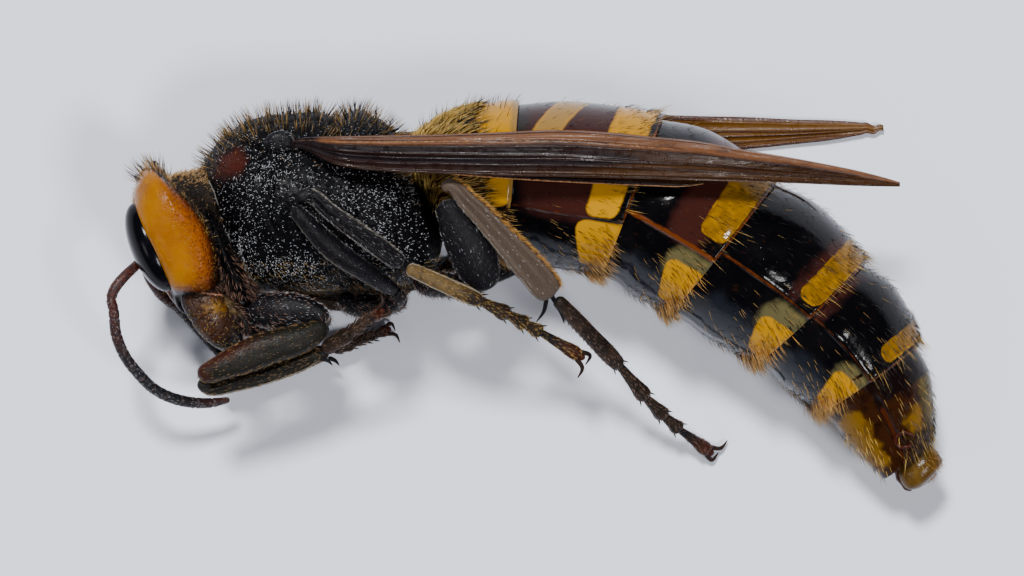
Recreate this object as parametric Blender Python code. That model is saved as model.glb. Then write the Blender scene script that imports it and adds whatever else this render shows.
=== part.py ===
"""Asian giant hornet, a worker, lying on its right side with its left side up.

Millimetres until a mesh is made. +X runs to the tail, +Y to the back, +Z up from the floor,
which is the hornet's left. The floor is z = 0 and the origin is under the middle of the body.
"""
import math

import bmesh
import bpy
from mathutils import Vector

MM = 0.001
GAP = 0.3
UP = Vector((0, 0, 1))

# The body's middle plane is level with the floor. These are its heights.
THORAX_MID = 4.85
HEAD_MID = 4.6

# A body section is back x, back y, belly x, belly y, half width, height of the middle.
NECK = [
    (-15.5, 5.35, -15.05, 4.0, 0.9, THORAX_MID),
    (-15.1, 5.45, -14.6, 4.1, 1.2, THORAX_MID),
    (-14.85, 5.55, -14.25, 4.2, 1.35, THORAX_MID),
]
PROPLEURA = [
    (-14.4, 3.3, -13.85, 2.95, 1.1, THORAX_MID),
    (-14.15, 2.2, -13.4, 1.95, 1.7, THORAX_MID),
    (-13.85, 1.15, -12.95, 0.95, 2.1, THORAX_MID),
    (-13.5, 0.4, -12.6, 0.35, 2.2, THORAX_MID),
    (-13.2, -0.25, -12.35, -0.1, 1.7, THORAX_MID),
]
PRONOTUM = [
    (-14.5, 5.7, -13.3, 2.5, 1.9, THORAX_MID),
    (-14.2, 6.4, -12.9, 1.5, 2.8, THORAX_MID),
    (-13.6, 7.1, -12.5, 0.8, 3.5, THORAX_MID),
    (-12.9, 7.6, -12.2, 0.5, 3.95, THORAX_MID),
]
MESOTHORAX = [
    (-12.6, 7.75, -11.85, 0.4, 4.05, THORAX_MID),
    (-11.9, 8.0, -11.1, 0.3, 4.2, THORAX_MID),
    (-10.4, 8.15, -10.2, 0.2, 4.3, THORAX_MID),
    (-8.9, 8.1, -8.8, 0.2, 4.3, THORAX_MID),
    (-8.5, 7.8, -8.5, 0.2, 4.3, THORAX_MID),
    (-8.1, 8.1, -8.1, 0.2, 4.3, THORAX_MID),
    (-7.2, 8.2, -7.2, 0.2, 4.2, THORAX_MID),
    (-6.4, 7.85, -6.4, 0.3, 4.0, THORAX_MID),
]
PROPODEUM = [
    (-6.1, 7.6, -6.1, 0.4, 3.85, THORAX_MID),
    (-5.75, 6.6, -5.4, 0.6, 3.5, THORAX_MID),
    (-5.5, 5.4, -4.8, 1.1, 2.7, THORAX_MID),
    (-5.1, 4.2, -4.1, 2.6, 1.0, THORAX_MID),
]
GASTER_FRONT = [
    (-4.6, 4.1, -3.7, 2.5, 0.75, 4.8),
    (-5.1, 6.9, -2.9, 2.0, 2.6, 4.75),
    (-3.9, 7.9, -2.1, 1.6, 3.4, 4.75),
    (-1.8, 8.6, -1.3, 1.5, 3.7, 4.7),
]
# The rear edge of each gaster segment, the first to the sixth.
GASTER_EDGES = [
    (-0.3, 8.8, -0.9, 1.5, 3.75, 4.7),
    (6.2, 8.1, 3.4, 0.75, 4.3, 4.5),
    (11.4, 5.2, 6.4, -1.0, 4.4, 4.33),
    (15.4, 1.5, 10.4, -3.2, 3.85, 4.0),
    (17.8, -2.3, 13.3, -5.4, 3.1, 3.5),
    (18.3, -6.8, 16.2, -8.4, 1.25, 2.9),
]
# How far the back and the belly of each later segment swell past a straight line.
GASTER_SWELLS = [(0.2, 0.1), (0.45, 0.15), (0.4, 0.15), (0.5, 0.15), (0.45, 0.1)]
PLATE_STEP = 0.045

# The head's outline from the side, from the vertex down the face and up the back of the head.
FACE_LINE = [(-16.95, 5.95), (-17.35, 5.1), (-17.6, 4.1), (-17.5, 3.0), (-16.95, 1.8), (-16.45, 0.95)]
CLYPEUS_LINE = [(-16.15, 0.25), (-15.8, -0.35), (-15.35, -0.85), (-14.85, -0.9)]
CHEEK_LINE = [(-16.1, 0.4), (-15.8, 0.0), (-15.4, -0.15), (-14.6, -0.1)]
NAPE_LINE = [
    (-13.95, 0.15), (-13.8, 0.8), (-13.95, 1.8), (-14.35, 3.0), (-14.95, 4.3), (-15.65, 5.35), (-16.3, 6.0),
]
HEAD_CENTRE = (-15.6, 2.7)
HEAD_HALF_WIDTH = 4.62
HEAD_SQUARENESS = 3.6
CLYPEUS_HALF_WIDTH = 1.6
NAPE_HOLLOW = 0.75
NAPE_HALF_WIDTH = 3.4
HEAD_LEVELS = (0.8, CLYPEUS_HALF_WIDTH, 1.9, 2.6, 3.2, 3.7, 4.1, 4.35, 4.5, HEAD_MID)
# The eyes' long axis leans by this much from straight down, towards the tail.
EYE_LEAN = math.radians(23)
EYE_CENTRE = (-16.73, 2.12)
EYE_OUT = 2.7
EYE_RADII = (0.92, 2.12, 1.45)

# Limb stations are x, y, z, half width seen from above, half thickness.
ANTENNA_LEFT = [
    (-17.35, 1.5, 5.65, 0.18), (-17.55, 1.25, 5.9, 0.22), (-18.0, 0.8, 6.25, 0.24), (-18.5, 0.1, 6.4, 0.24),
    (-18.58, -0.22, 6.4, 0.2), (-18.5, -0.6, 6.35, 0.23), (-18.38, -1.8, 6.0, 0.25), (-18.0, -2.8, 5.5, 0.25),
    (-17.42, -3.6, 4.9, 0.25), (-16.8, -4.25, 4.2, 0.25), (-15.3, -4.87, 3.1, 0.25), (-14.3, -4.92, 2.6, 0.22),
    (-13.5, -4.78, 2.3, 0.13),
]
ANTENNA_RIGHT = [
    (-17.35, 1.5, 4.0, 0.18), (-17.1, 0.95, 3.75, 0.22), (-16.75, 0.3, 3.25, 0.24), (-16.6, 0.05, 2.95, 0.2),
    (-16.3, -0.22, 2.5, 0.23), (-15.8, -0.6, 1.75, 0.25), (-15.25, -1.2, 1.15, 0.25), (-14.6, -1.95, 0.85, 0.25),
    (-13.8, -2.75, 0.65, 0.25), (-12.8, -3.35, 0.48, 0.25), (-11.8, -3.55, 0.36, 0.22), (-11.0, -3.45, 0.28, 0.14),
]
MANDIBLE = [
    (-14.4, -0.48, 2.6, 0.75, 0.5), (-14.25, -0.9, 2.5, 0.83, 0.58), (-13.8, -1.55, 2.05, 0.7, 0.52),
    (-13.2, -2.2, 1.4, 0.5, 0.4), (-12.85, -2.6, 0.95, 0.2, 0.2),
]
MOUTHPARTS = [
    (-14.0, -0.95, HEAD_MID, 0.45, 1.0), (-13.6, -1.4, HEAD_MID, 0.55, 1.0),
    (-13.1, -1.95, HEAD_MID, 0.45, 0.8), (-12.75, -2.35, HEAD_MID, 0.2, 0.4),
]
TEGULA = [
    (-11.6, 6.65, 3.7, 0.2, 0.15), (-11.25, 6.75, 3.85, 0.4, 0.24), (-10.8, 6.85, 3.88, 0.42, 0.26),
    (-10.4, 6.9, 3.85, 0.26, 0.2),
]

# Each leg has a coxa, a femur, a tibia and then the joints of its tarsus.
LEGS = {
    "front_left": {
        "coxa": [
            (-12.1, -0.65, 5.9, 0.4, 0.4), (-11.3, -0.85, 6.1, 0.6, 0.6),
            (-10.2, -0.85, 6.3, 0.55, 0.55), (-9.5, -0.75, 6.4, 0.32, 0.32),
        ],
        "femur": [
            (-9.05, -1.55, 6.6, 0.24, 0.24), (-9.8, -1.84, 6.72, 0.48, 0.45), (-11.6, -2.42, 6.85, 0.55, 0.5),
            (-13.45, -3.17, 7.0, 0.46, 0.42), (-14.6, -3.65, 7.0, 0.3, 0.3),
        ],
        "tibia": [
            (-14.2, -4.25, 6.1, 0.26, 0.26), (-12.95, -3.95, 6.0, 0.36, 0.34), (-11.05, -3.35, 5.95, 0.42, 0.38),
            (-9.8, -2.82, 6.05, 0.42, 0.38), (-9.4, -2.63, 6.1, 0.3, 0.3),
        ],
        "tarsus": [
            (-8.95, -2.4, 6.35), (-7.85, -1.7, 7.0), (-7.5, -1.45, 7.25),
            (-7.2, -1.22, 7.4), (-6.95, -1.05, 7.5), (-6.55, -0.82, 7.6),
        ],
        "tarsus_radius": 0.33,
        "claw_turn": -1,
    },
    "mid_left": {
        "coxa": [
            (-7.9, -0.4, 5.7, 0.42, 0.42), (-7.2, -0.5, 6.0, 0.52, 0.5),
            (-6.3, -0.45, 6.3, 0.45, 0.42), (-5.6, -0.3, 6.6, 0.3, 0.3),
        ],
        "femur": [
            (-6.05, 0.3, 7.3, 0.26, 0.26), (-6.9, 0.85, 8.4, 0.42, 0.4), (-8.5, 1.95, 9.4, 0.5, 0.42),
            (-9.6, 3.05, 9.8, 0.42, 0.4), (-10.25, 3.7, 9.85, 0.28, 0.28),
        ],
        "tibia": [
            (-9.75, 4.45, 9.9, 0.26, 0.26), (-8.6, 3.6, 9.9, 0.36, 0.34), (-7.2, 2.6, 9.75, 0.42, 0.36),
            (-6.05, 1.75, 9.5, 0.42, 0.36), (-5.6, 1.4, 9.35, 0.3, 0.3),
        ],
        "tarsus": [
            (-5.15, 1.1, 9.1), (-2.0, -0.3, 7.9), (-0.8, -0.9, 7.0),
            (0.0, -1.35, 6.3), (0.65, -1.7, 5.8), (2.4, -2.75, 4.9),
        ],
        "tarsus_radius": 0.36,
        "claw_turn": 1,
    },
    "hind_left": {
        "coxa": [
            (-4.5, 0.45, 5.9, 0.42, 0.42), (-3.7, 0.45, 6.5, 0.54, 0.5),
            (-2.8, 0.3, 7.0, 0.45, 0.42), (-2.3, 0.2, 7.25, 0.3, 0.3),
        ],
        "femur": [
            (-1.95, 0.75, 7.8, 0.28, 0.28), (-2.3, 1.4, 8.2, 0.55, 0.42), (-2.95, 2.5, 8.65, 0.64, 0.46),
            (-3.5, 3.5, 8.9, 0.5, 0.42), (-3.8, 4.05, 9.0, 0.3, 0.3),
        ],
        "tibia": [
            (-3.5, 4.8, 9.3, 0.22, 0.22), (-2.5, 4.0, 9.3, 0.44, 0.3), (-1.1, 2.55, 9.05, 0.56, 0.32),
            (0.3, 1.0, 8.4, 0.64, 0.34), (0.95, 0.2, 7.95, 0.5, 0.34), (1.15, -0.02, 7.8, 0.3, 0.28),
        ],
        "tarsus": [
            (1.5, -0.3, 7.5), (4.25, -3.25, 4.6), (5.45, -4.7, 3.3),
            (6.3, -5.55, 2.4), (7.0, -6.15, 1.75), (8.35, -7.15, 0.6),
        ],
        "tarsus_radius": 0.36,
        "claw_turn": -1,
    },
    "front_right": {
        "coxa": [
            (-12.1, -0.65, 3.8, 0.4, 0.4), (-11.3, -0.85, 3.6, 0.6, 0.6),
            (-10.2, -0.85, 3.4, 0.55, 0.55), (-9.5, -0.75, 3.3, 0.32, 0.32),
        ],
        "femur": [
            (-9.1, -1.6, 3.1, 0.24, 0.24), (-9.8, -1.9, 3.0, 0.45, 0.42), (-11.6, -2.65, 2.85, 0.5, 0.46),
            (-13.2, -3.35, 2.75, 0.42, 0.4), (-14.1, -3.75, 2.7, 0.28, 0.28),
        ],
        "tibia": [
            (-13.6, -4.05, 2.0, 0.26, 0.26), (-12.5, -3.75, 1.75, 0.36, 0.34), (-10.9, -3.2, 1.55, 0.4, 0.36),
            (-9.5, -2.75, 1.4, 0.4, 0.36), (-9.1, -2.6, 1.35, 0.28, 0.28),
        ],
        "tarsus": [
            (-8.7, -2.45, 1.3), (-7.85, -2.2, 1.1), (-7.5, -2.05, 1.0),
            (-7.2, -1.95, 0.9), (-6.9, -1.85, 0.8), (-6.4, -1.65, 0.6),
        ],
        "tarsus_radius": 0.3,
        "claw_turn": 1,
    },
    "mid_right": {
        "coxa": [
            (-7.9, -0.4, 4.0, 0.42, 0.42), (-7.2, -0.5, 3.7, 0.52, 0.5),
            (-6.3, -0.45, 3.4, 0.45, 0.42), (-5.6, -0.3, 3.1, 0.3, 0.3),
        ],
        "femur": [
            (-6.0, 0.1, 2.3, 0.26, 0.26), (-7.3, 0.35, 1.6, 0.42, 0.4), (-9.0, 0.65, 1.2, 0.45, 0.42),
            (-10.3, 0.8, 1.05, 0.36, 0.36), (-10.9, 0.85, 1.0, 0.26, 0.26),
        ],
        "tibia": [
            (-10.9, 0.1, 0.5, 0.26, 0.26), (-9.6, -0.25, 0.36, 0.36, 0.34), (-8.0, -0.35, 0.34, 0.4, 0.36),
            (-6.8, -0.15, 0.34, 0.38, 0.36), (-6.35, 0.0, 0.36, 0.28, 0.28),
        ],
        "tarsus": [
            (-5.9, 0.2, 0.36), (-3.9, 1.1, 0.34), (-3.3, 1.4, 0.33),
            (-2.8, 1.65, 0.33), (-2.35, 1.85, 0.32), (-1.5, 2.2, 0.32),
        ],
        "tarsus_radius": 0.33,
        "claw_turn": 1,
    },
    "hind_right": {
        "coxa": [
            (-4.5, 0.45, 3.8, 0.42, 0.42), (-3.7, 0.45, 3.2, 0.54, 0.5),
            (-2.8, 0.35, 2.7, 0.45, 0.42), (-2.3, 0.3, 2.4, 0.3, 0.3),
        ],
        "femur": [
            (-1.75, 0.65, 1.9, 0.28, 0.28), (-0.9, 1.2, 1.3, 0.46, 0.4), (0.5, 1.75, 0.85, 0.5, 0.38),
            (1.9, 1.9, 0.72, 0.4, 0.36), (2.6, 1.85, 0.68, 0.28, 0.28),
        ],
        "tibia": [
            (3.2, 1.6, 0.5, 0.26, 0.26), (4.0, 1.3, 0.38, 0.42, 0.34), (5.3, 0.7, 0.34, 0.5, 0.34),
            (6.5, 0.05, 0.34, 0.44, 0.34), (7.0, -0.25, 0.36, 0.28, 0.28),
        ],
        "tarsus": [
            (7.4, -0.5, 0.36), (9.3, -1.6, 0.34), (10.0, -2.1, 0.34),
            (10.6, -2.55, 0.33), (11.1, -2.95, 0.33), (12.1, -3.6, 0.33),
        ],
        "tarsus_radius": 0.33,
        "claw_turn": -1,
    },
}

# Forewing stations are x, y and z of the inner edge, then y and z of the leading edge.
FOREWING_LEFT = [
    (-9.95, 6.95, 8.95, 6.5, 9.0), (-8.4, 7.0, 9.65, 5.75, 10.2), (-6.2, 7.05, 9.55, 5.45, 10.3),
    (-3.9, 7.1, 9.4, 5.35, 10.3), (-1.2, 7.2, 9.35, 5.25, 10.35), (1.5, 7.3, 9.35, 5.2, 10.35),
    (3.6, 7.2, 9.4, 5.15, 10.35), (5.6, 7.0, 9.35, 5.1, 10.3), (7.6, 6.8, 9.1, 5.05, 10.1),
    (9.6, 6.45, 8.7, 5.0, 9.6), (11.5, 6.15, 8.2, 4.95, 9.0), (13.2, 5.85, 7.7, 4.9, 8.4),
    (14.7, 5.55, 7.35, 4.85, 7.9), (15.9, 5.25, 7.2, 4.83, 7.5), (16.7, 5.0, 7.1, 4.82, 7.2),
]
FOREWING_RIGHT = [
    (-9.95, 7.05, 0.8, 6.6, 0.7), (-8.4, 7.2, 0.28, 6.3, 0.26), (-6.2, 7.4, 0.25, 6.1, 0.25),
    (-3.9, 7.5, 0.25, 5.9, 0.25), (-1.2, 7.7, 0.25, 5.85, 0.25), (1.5, 7.9, 0.25, 5.95, 0.25),
    (3.6, 8.1, 0.25, 6.3, 0.25), (5.8, 8.2, 0.25, 6.45, 0.25), (8.0, 8.15, 0.25, 6.55, 0.25),
    (10.2, 8.1, 0.25, 6.65, 0.25), (12.2, 8.0, 0.25, 6.85, 0.25), (14.0, 7.95, 0.25, 7.05, 0.25),
    (15.4, 7.85, 0.25, 7.3, 0.25), (16.3, 7.7, 0.25, 7.45, 0.25),
]
# Hindwing stations are x and the y of both edges. Each hindwing lies between its forewing and the body.
HINDWING_LEFT = [
    (-7.9, 6.85, 6.5), (-6.2, 6.75, 5.8), (-3.9, 6.6, 5.5), (-1.2, 6.6, 5.25), (1.5, 6.6, 5.05),
    (3.6, 6.5, 4.95), (5.6, 6.2, 4.85), (7.0, 5.6, 4.8), (7.8, 5.2, 4.95),
]
HINDWING_RIGHT = [
    (-7.9, 7.3, 7.1), (-6.2, 7.35, 7.0), (-3.9, 7.6, 7.1), (-1.2, 8.1, 7.35), (1.5, 8.35, 7.6),
    (3.6, 8.3, 7.6), (5.6, 8.05, 7.4), (7.2, 7.75, 7.3), (7.9, 7.5, 7.35),
]
WING_HALF_THICKNESS = 0.25
VEIN_HEIGHT = 0.12
VEIN_HALF_SHARE = 0.05
HINDWING_GAP = 0.36
FOREWING_VEINS = (0.22, 0.5, 0.8)
HINDWING_VEINS = (0.3, 0.7)

STING = [
    (16.92, -8.26, 2.85, 0.22, 0.22), (17.06, -8.54, 2.8, 0.22, 0.22), (17.35, -8.75, 2.75, 0.17, 0.17),
    (17.5, -8.92, 2.72, 0.08, 0.08),
]
STING_SHEATH = [
    (18.05, -7.68, 2.9, 0.6, 0.55), (18.17, -7.92, 2.88, 0.78, 0.72), (18.33, -8.2, 2.85, 0.8, 0.7),
    (18.5, -8.52, 2.8, 0.55, 0.5), (18.6, -8.72, 2.8, 0.25, 0.25),
]

COLOURS = {
    "black": ((0.02, 0.018, 0.018, 1), 0.45),
    "brown": ((0.09, 0.045, 0.025, 1), 0.5),
    "orange": ((0.75, 0.36, 0.03, 1), 0.4),
    "amber": ((0.45, 0.24, 0.04, 1), 0.45),
    "eye": ((0.02, 0.015, 0.015, 1), 0.2),
    "wing": ((0.16, 0.07, 0.025, 1), 0.35),
}


def clear_scene():
    for thing in list(bpy.data.objects):
        bpy.data.objects.remove(thing, do_unlink=True)


def material(name):
    found = bpy.data.materials.get(name)
    if found:
        return found
    made = bpy.data.materials.new(name)
    made.use_nodes = True
    shader = made.node_tree.nodes["Principled BSDF"]
    colour, roughness = COLOURS[name]
    shader.inputs["Base Color"].default_value = colour
    shader.inputs["Roughness"].default_value = roughness
    return made


def new_collection(name):
    made = bpy.data.collections.new(name)
    bpy.context.scene.collection.children.link(made)
    return made


def new_object(name, mesh, colour):
    thing = bpy.data.objects.new(name, mesh)
    mesh.materials.append(material(colour))
    bpy.data.collections["hornet"].objects.link(thing)
    return thing


def loft(name, rings, colour, ends=None):
    """A closed skin through rings of equal length, in millimetres, with a fan of faces on each end."""
    first, last = ends or [sum(ring, Vector()) / len(ring) for ring in (rings[0], rings[-1])]
    shape = bmesh.new()
    rows = [[shape.verts.new(point * MM) for point in ring] for ring in rings]
    count = len(rows[0])
    for near, far in zip(rows, rows[1:]):
        for i in range(count):
            j = (i + 1) % count
            shape.faces.new((near[i], near[j], far[j], far[i]))
    for row, tip, turn in ((rows[0], first, -1), (rows[-1], last, 1)):
        point = shape.verts.new(tip * MM)
        for i in range(count):
            corners = (row[i], row[(i + 1) % count], point)
            shape.faces.new(corners[::turn])
    bmesh.ops.recalc_face_normals(shape, faces=shape.faces)
    mesh = bpy.data.meshes.new(name)
    shape.to_mesh(mesh)
    shape.free()
    mesh.shade_smooth()
    return new_object(name, mesh, colour)


def keep_off_the_floor(thing):
    """Flattens what would dip under the floor. These flats are what the hornet rests on."""
    for vertex in thing.data.vertices:
        vertex.co.z = max(vertex.co.z, 0.0)


def join(thing, pieces):
    """Fuses closed pieces to a mesh object, and keeps its largest closed surface."""
    group = new_collection("joining")
    for piece in pieces:
        bpy.data.collections["hornet"].objects.unlink(piece)
        group.objects.link(piece)
    union = thing.modifiers.new("join", "BOOLEAN")
    union.operation = "UNION"
    union.operand_type = "COLLECTION"
    union.collection = group
    union.solver = "MANIFOLD"
    bpy.context.view_layer.update()
    graph = bpy.context.evaluated_depsgraph_get()
    made = bpy.data.meshes.new_from_object(thing.evaluated_get(graph))
    thing.modifiers.clear()
    thing.data = made
    for piece in pieces:
        bpy.data.objects.remove(piece, do_unlink=True)
    bpy.data.collections.remove(group)
    keep_largest_surface(made)


def keep_largest_surface(mesh):
    shape = bmesh.new()
    shape.from_mesh(mesh)
    left = set(shape.verts)
    groups = []
    while left:
        found, rim = set(), {left.pop()}
        while rim:
            found |= rim
            rim = {e.other_vert(v) for v in rim for e in v.link_edges} - found
        left -= found
        groups.append(found)
    groups.sort(key=len)
    loose = [v for group in groups[:-1] for v in group]
    bmesh.ops.delete(shape, geom=loose, context="VERTS")
    shape.to_mesh(mesh)
    shape.free()


def mix(a, b, share):
    return tuple(p + (q - p) * share for p, q in zip(a, b))


def section_ring(section, angles, scale=1.0):
    """A ring of the body. Angle 0 is the middle of the back, and each angle has its own reach."""
    back_x, back_y, belly_x, belly_y, half_width, height = section
    back = Vector((back_x, back_y, height))
    belly = Vector((belly_x, belly_y, height))
    middle = (back + belly) / 2
    rise = (back - belly) / 2
    return [
        middle + (rise * math.cos(angle) + UP * (half_width * math.sin(angle))) * (reach * scale)
        for angle, reach in angles
    ]


def round_angles(count):
    return [(2 * math.pi * i / count, 1.0) for i in range(count)]


def plated_angles():
    """The back plate stands proud of the belly plate by PLATE_STEP, a little below the side line."""
    upper = [(math.radians(16 * i), 1.0) for i in range(7)]
    lower = [(math.radians(a), 1 - PLATE_STEP) for a in (99, 112, 126, 140, 154, 167, 180)]
    half = upper + lower
    return half + [(-angle, reach) for angle, reach in reversed(half[1:-1])]


def body_part(name, sections, colour, angles):
    return loft(name, [section_ring(s, angles) for s in sections], colour)


def gaster_segment(name, front, rear, swell, colour):
    """One ring of the gaster. It starts narrower than the segment before it and ends in a raised edge."""
    length = math.hypot(rear[0] + rear[2] - front[0] - front[2], rear[1] + rear[3] - front[1] - front[3]) / 2
    shares = (GAP / length, 0.16, 0.38, 0.65, 0.88, 1.0)
    scales = (0.9, 0.955, 0.985, 0.995, 1.0, 0.985)
    angles = plated_angles()
    rings = []
    for share, scale in zip(shares, scales):
        back_x, back_y, belly_x, belly_y, half_width, height = mix(front, rear, share)
        out = Vector((back_x - belly_x, back_y - belly_y)).normalized()
        rise = 4 * share * (1 - share)
        back = Vector((back_x, back_y)) + out * (swell[0] * rise)
        belly = Vector((belly_x, belly_y)) - out * (swell[1] * rise)
        rings.append(section_ring((*back, *belly, half_width, height), angles, scale))
    return loft(name, rings, colour)


def limb(name, stations, colour, sides=10, height=0.0):
    """A tapering limb with oval sections and rounded ends, along x, y, z stations."""
    points = [Vector((s[0], s[1], s[2] + height)) for s in stations]
    rings = []
    for i, station in enumerate(stations):
        along = (points[min(i + 1, len(points) - 1)] - points[max(i - 1, 0)]).normalized()
        side = along.cross(UP).normalized()
        top = side.cross(along)
        half_width, half_thickness = station[3], station[-1]
        rings.append([
            points[i] + side * (half_width * math.cos(a)) + top * (half_thickness * math.sin(a))
            for a, _ in round_angles(sides)
        ])
    tips = (
        points[0] - (points[1] - points[0]).normalized() * stations[0][-1] * 0.4,
        points[-1] + (points[-1] - points[-2]).normalized() * stations[-1][-1] * 0.4,
    )
    return loft(name, rings, colour, tips)


def build_tarsus(name, joints, radius, claw_turn, colour):
    """Five joints that each widen to their far end, and two hooked claws."""
    points = [Vector(p) for p in joints]
    stations = []
    for near, far in zip(points, points[1:]):
        along = (far - near).normalized()
        room = min(radius * 0.5, (far - near).length * 0.25)
        stations.append((*(near + along * room * 0.6), radius * 0.72))
        stations.append((*(far - along * room), radius))
    foot = limb(name, stations, colour, sides=8)
    along = (points[-1] - points[-2]).normalized()
    side = along.cross(UP).normalized()
    claws = []
    for spread in (-1, 1):
        root = points[-1] - along * radius * 0.6 + side * (spread * radius * 0.5)
        bend = root + along * radius * 1.5 + side * (spread * radius * 0.5)
        tip = bend + along * radius * 0.3 + side * (claw_turn * radius * 0.9) - UP * radius * 0.25
        stations = [(*root, radius * 0.42), (*bend, radius * 0.36), (*tip, radius * 0.15)]
        claws.append(limb(f"{name}_claw", stations, colour, sides=6))
    join(foot, claws)
    return foot


def build_spur(tibia, leg, colour):
    """The thorn at the far end of a tibia."""
    end = Vector(leg["tibia"][-1][:3])
    along = (end - Vector(leg["tibia"][-3][:3])).normalized()
    across = along.cross(UP).normalized()
    root = end - along * 0.25 + across * 0.1
    tip = end + along * 0.3 + across * 0.6
    middle = root.lerp(tip, 0.5)
    spur = limb("spur", [(*root, 0.16), (*middle, 0.12), (*tip, 0.05)], colour, sides=6)
    join(tibia, [spur])


def build_leg(side, leg):
    """Coxa, femur, tibia with its spur, and tarsus, each its own node."""
    limb(f"leg_{side}_coxa", leg["coxa"], "black")
    femur = limb(f"leg_{side}_femur", leg["femur"], "black")
    tibia = limb(f"leg_{side}_tibia", leg["tibia"], "brown")
    build_spur(tibia, leg, "brown")
    tarsus = build_tarsus(f"leg_{side}_tarsus", leg["tarsus"], leg["tarsus_radius"], leg["claw_turn"], "brown")
    for piece in (femur, tibia, tarsus):
        keep_off_the_floor(piece)


def blade_outline(veins):
    """Shares across a wing and how far off its middle each point lies, round both faces."""
    outer = [(0.0, 0.0), (0.06, 1.0)]
    for share in veins:
        crest = 1.0 + VEIN_HEIGHT / WING_HALF_THICKNESS
        outer += [(share - VEIN_HALF_SHARE, 1.0), (share, crest), (share + VEIN_HALF_SHARE, 1.0)]
    return outer + [(0.94, 1.0), (1.0, 0.0), (0.94, -1.0), (0.5, -1.0), (0.06, -1.0)]


def build_wing(name, stations, veins):
    """A folded wing blade with its main veins raised on the face that looks up."""
    rings = []
    for x, inner_y, inner_z, outer_y, outer_z in stations:
        start, end = Vector((x, inner_y, inner_z)), Vector((x, outer_y, outer_z))
        normal = (end - start).normalized().cross(Vector((1, 0, 0)))
        rings.append([
            start.lerp(end, share) + normal * (lift * WING_HALF_THICKNESS)
            for share, lift in blade_outline(veins)
        ])
    keep_off_the_floor(loft(name, rings, "wing"))


def height_on_wing(forewing, x, y):
    """The height of a forewing's middle surface at x and y."""
    for near, far in zip(forewing, forewing[1:]):
        if near[0] <= x <= far[0]:
            _, inner_y, inner_z, outer_y, outer_z = mix(near, far, (x - near[0]) / (far[0] - near[0]))
            return inner_z + (outer_z - inner_z) * (inner_y - y) / (inner_y - outer_y)
    raise ValueError("the hindwing reaches past its forewing")


def tucked(hindwing, forewing, offset):
    """Hindwing stations set at an even distance from the forewing."""
    return [
        (
            x,
            inner_y, height_on_wing(forewing, x, inner_y) + offset,
            outer_y, height_on_wing(forewing, x, outer_y) + offset,
        )
        for x, inner_y, outer_y in hindwing
    ]


def build_wings():
    spacing = 2 * WING_HALF_THICKNESS + VEIN_HEIGHT + HINDWING_GAP
    build_wing("forewing_left", FOREWING_LEFT, FOREWING_VEINS)
    build_wing("hindwing_left", tucked(HINDWING_LEFT, FOREWING_LEFT, -spacing), HINDWING_VEINS)
    build_wing("forewing_right", FOREWING_RIGHT, FOREWING_VEINS)
    build_wing("hindwing_right", tucked(HINDWING_RIGHT, FOREWING_RIGHT, spacing), HINDWING_VEINS)


def head_ring(level):
    """The head's side outline at a distance from its middle plane."""
    off = abs(level)
    scale = (1 - (off / HEAD_HALF_WIDTH) ** HEAD_SQUARENESS) ** (1 / HEAD_SQUARENESS)
    hollow = NAPE_HOLLOW * max(0.0, 1 - (off / NAPE_HALF_WIDTH) ** 2)
    chin = CLYPEUS_LINE if off <= CLYPEUS_HALF_WIDTH else CHEEK_LINE
    nape = [(x - hollow * math.sin(math.pi * i / len(NAPE_LINE)), y) for i, (x, y) in enumerate(NAPE_LINE)]
    centre = Vector((*HEAD_CENTRE, HEAD_MID + level))
    return [
        centre + Vector((x - centre.x, y - centre.y, 0)) * scale
        for x, y in FACE_LINE + chin + nape
    ]


def eye_shape(name, side, grow, collection):
    """A leaning ellipsoid let into the side of the face."""
    shape = bmesh.new()
    bmesh.ops.create_uvsphere(shape, u_segments=16, v_segments=10, radius=1)
    for vertex in shape.verts:
        ahead, along, out = (c * (r + grow) for c, r in zip(vertex.co, EYE_RADII))
        vertex.co = MM * Vector((
            EYE_CENTRE[0] + ahead * math.cos(EYE_LEAN) - along * math.sin(EYE_LEAN),
            EYE_CENTRE[1] + ahead * math.sin(EYE_LEAN) + along * math.cos(EYE_LEAN),
            HEAD_MID + side * EYE_OUT + out,
        ))
    mesh = bpy.data.meshes.new(name)
    shape.to_mesh(mesh)
    shape.free()
    mesh.shade_smooth()
    mesh.materials.append(material("eye"))
    eye = bpy.data.objects.new(name, mesh)
    bpy.data.collections[collection].objects.link(eye)
    return eye


def build_eye(head, side, word):
    eye_shape(f"eye_{word}", side, 0.0, "hornet")
    socket = eye_shape(f"eye_{word}_socket", side, GAP, "cutters")
    socket.hide_render = True
    socket.display_type = "WIRE"
    cut = head.modifiers.new(f"socket {word}", "BOOLEAN")
    cut.operation = "DIFFERENCE"
    cut.object = socket


def build_head():
    levels = [-level for level in reversed(HEAD_LEVELS)] + [0.0] + list(HEAD_LEVELS)
    head = loft("head", [head_ring(level) for level in levels], "orange")
    keep_off_the_floor(head)
    for side, word in ((1, "left"), (-1, "right")):
        build_eye(head, side, word)
        stations = [(x, y, side * out, *sizes) for x, y, out, *sizes in MANDIBLE]
        limb(f"mandible_{word}", stations, "amber", sides=12, height=HEAD_MID)
    limb("mouthparts", MOUTHPARTS, "brown", sides=12)
    limb("antenna_left", ANTENNA_LEFT, "brown", sides=8)
    keep_off_the_floor(limb("antenna_right", ANTENNA_RIGHT, "brown", sides=8))


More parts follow.
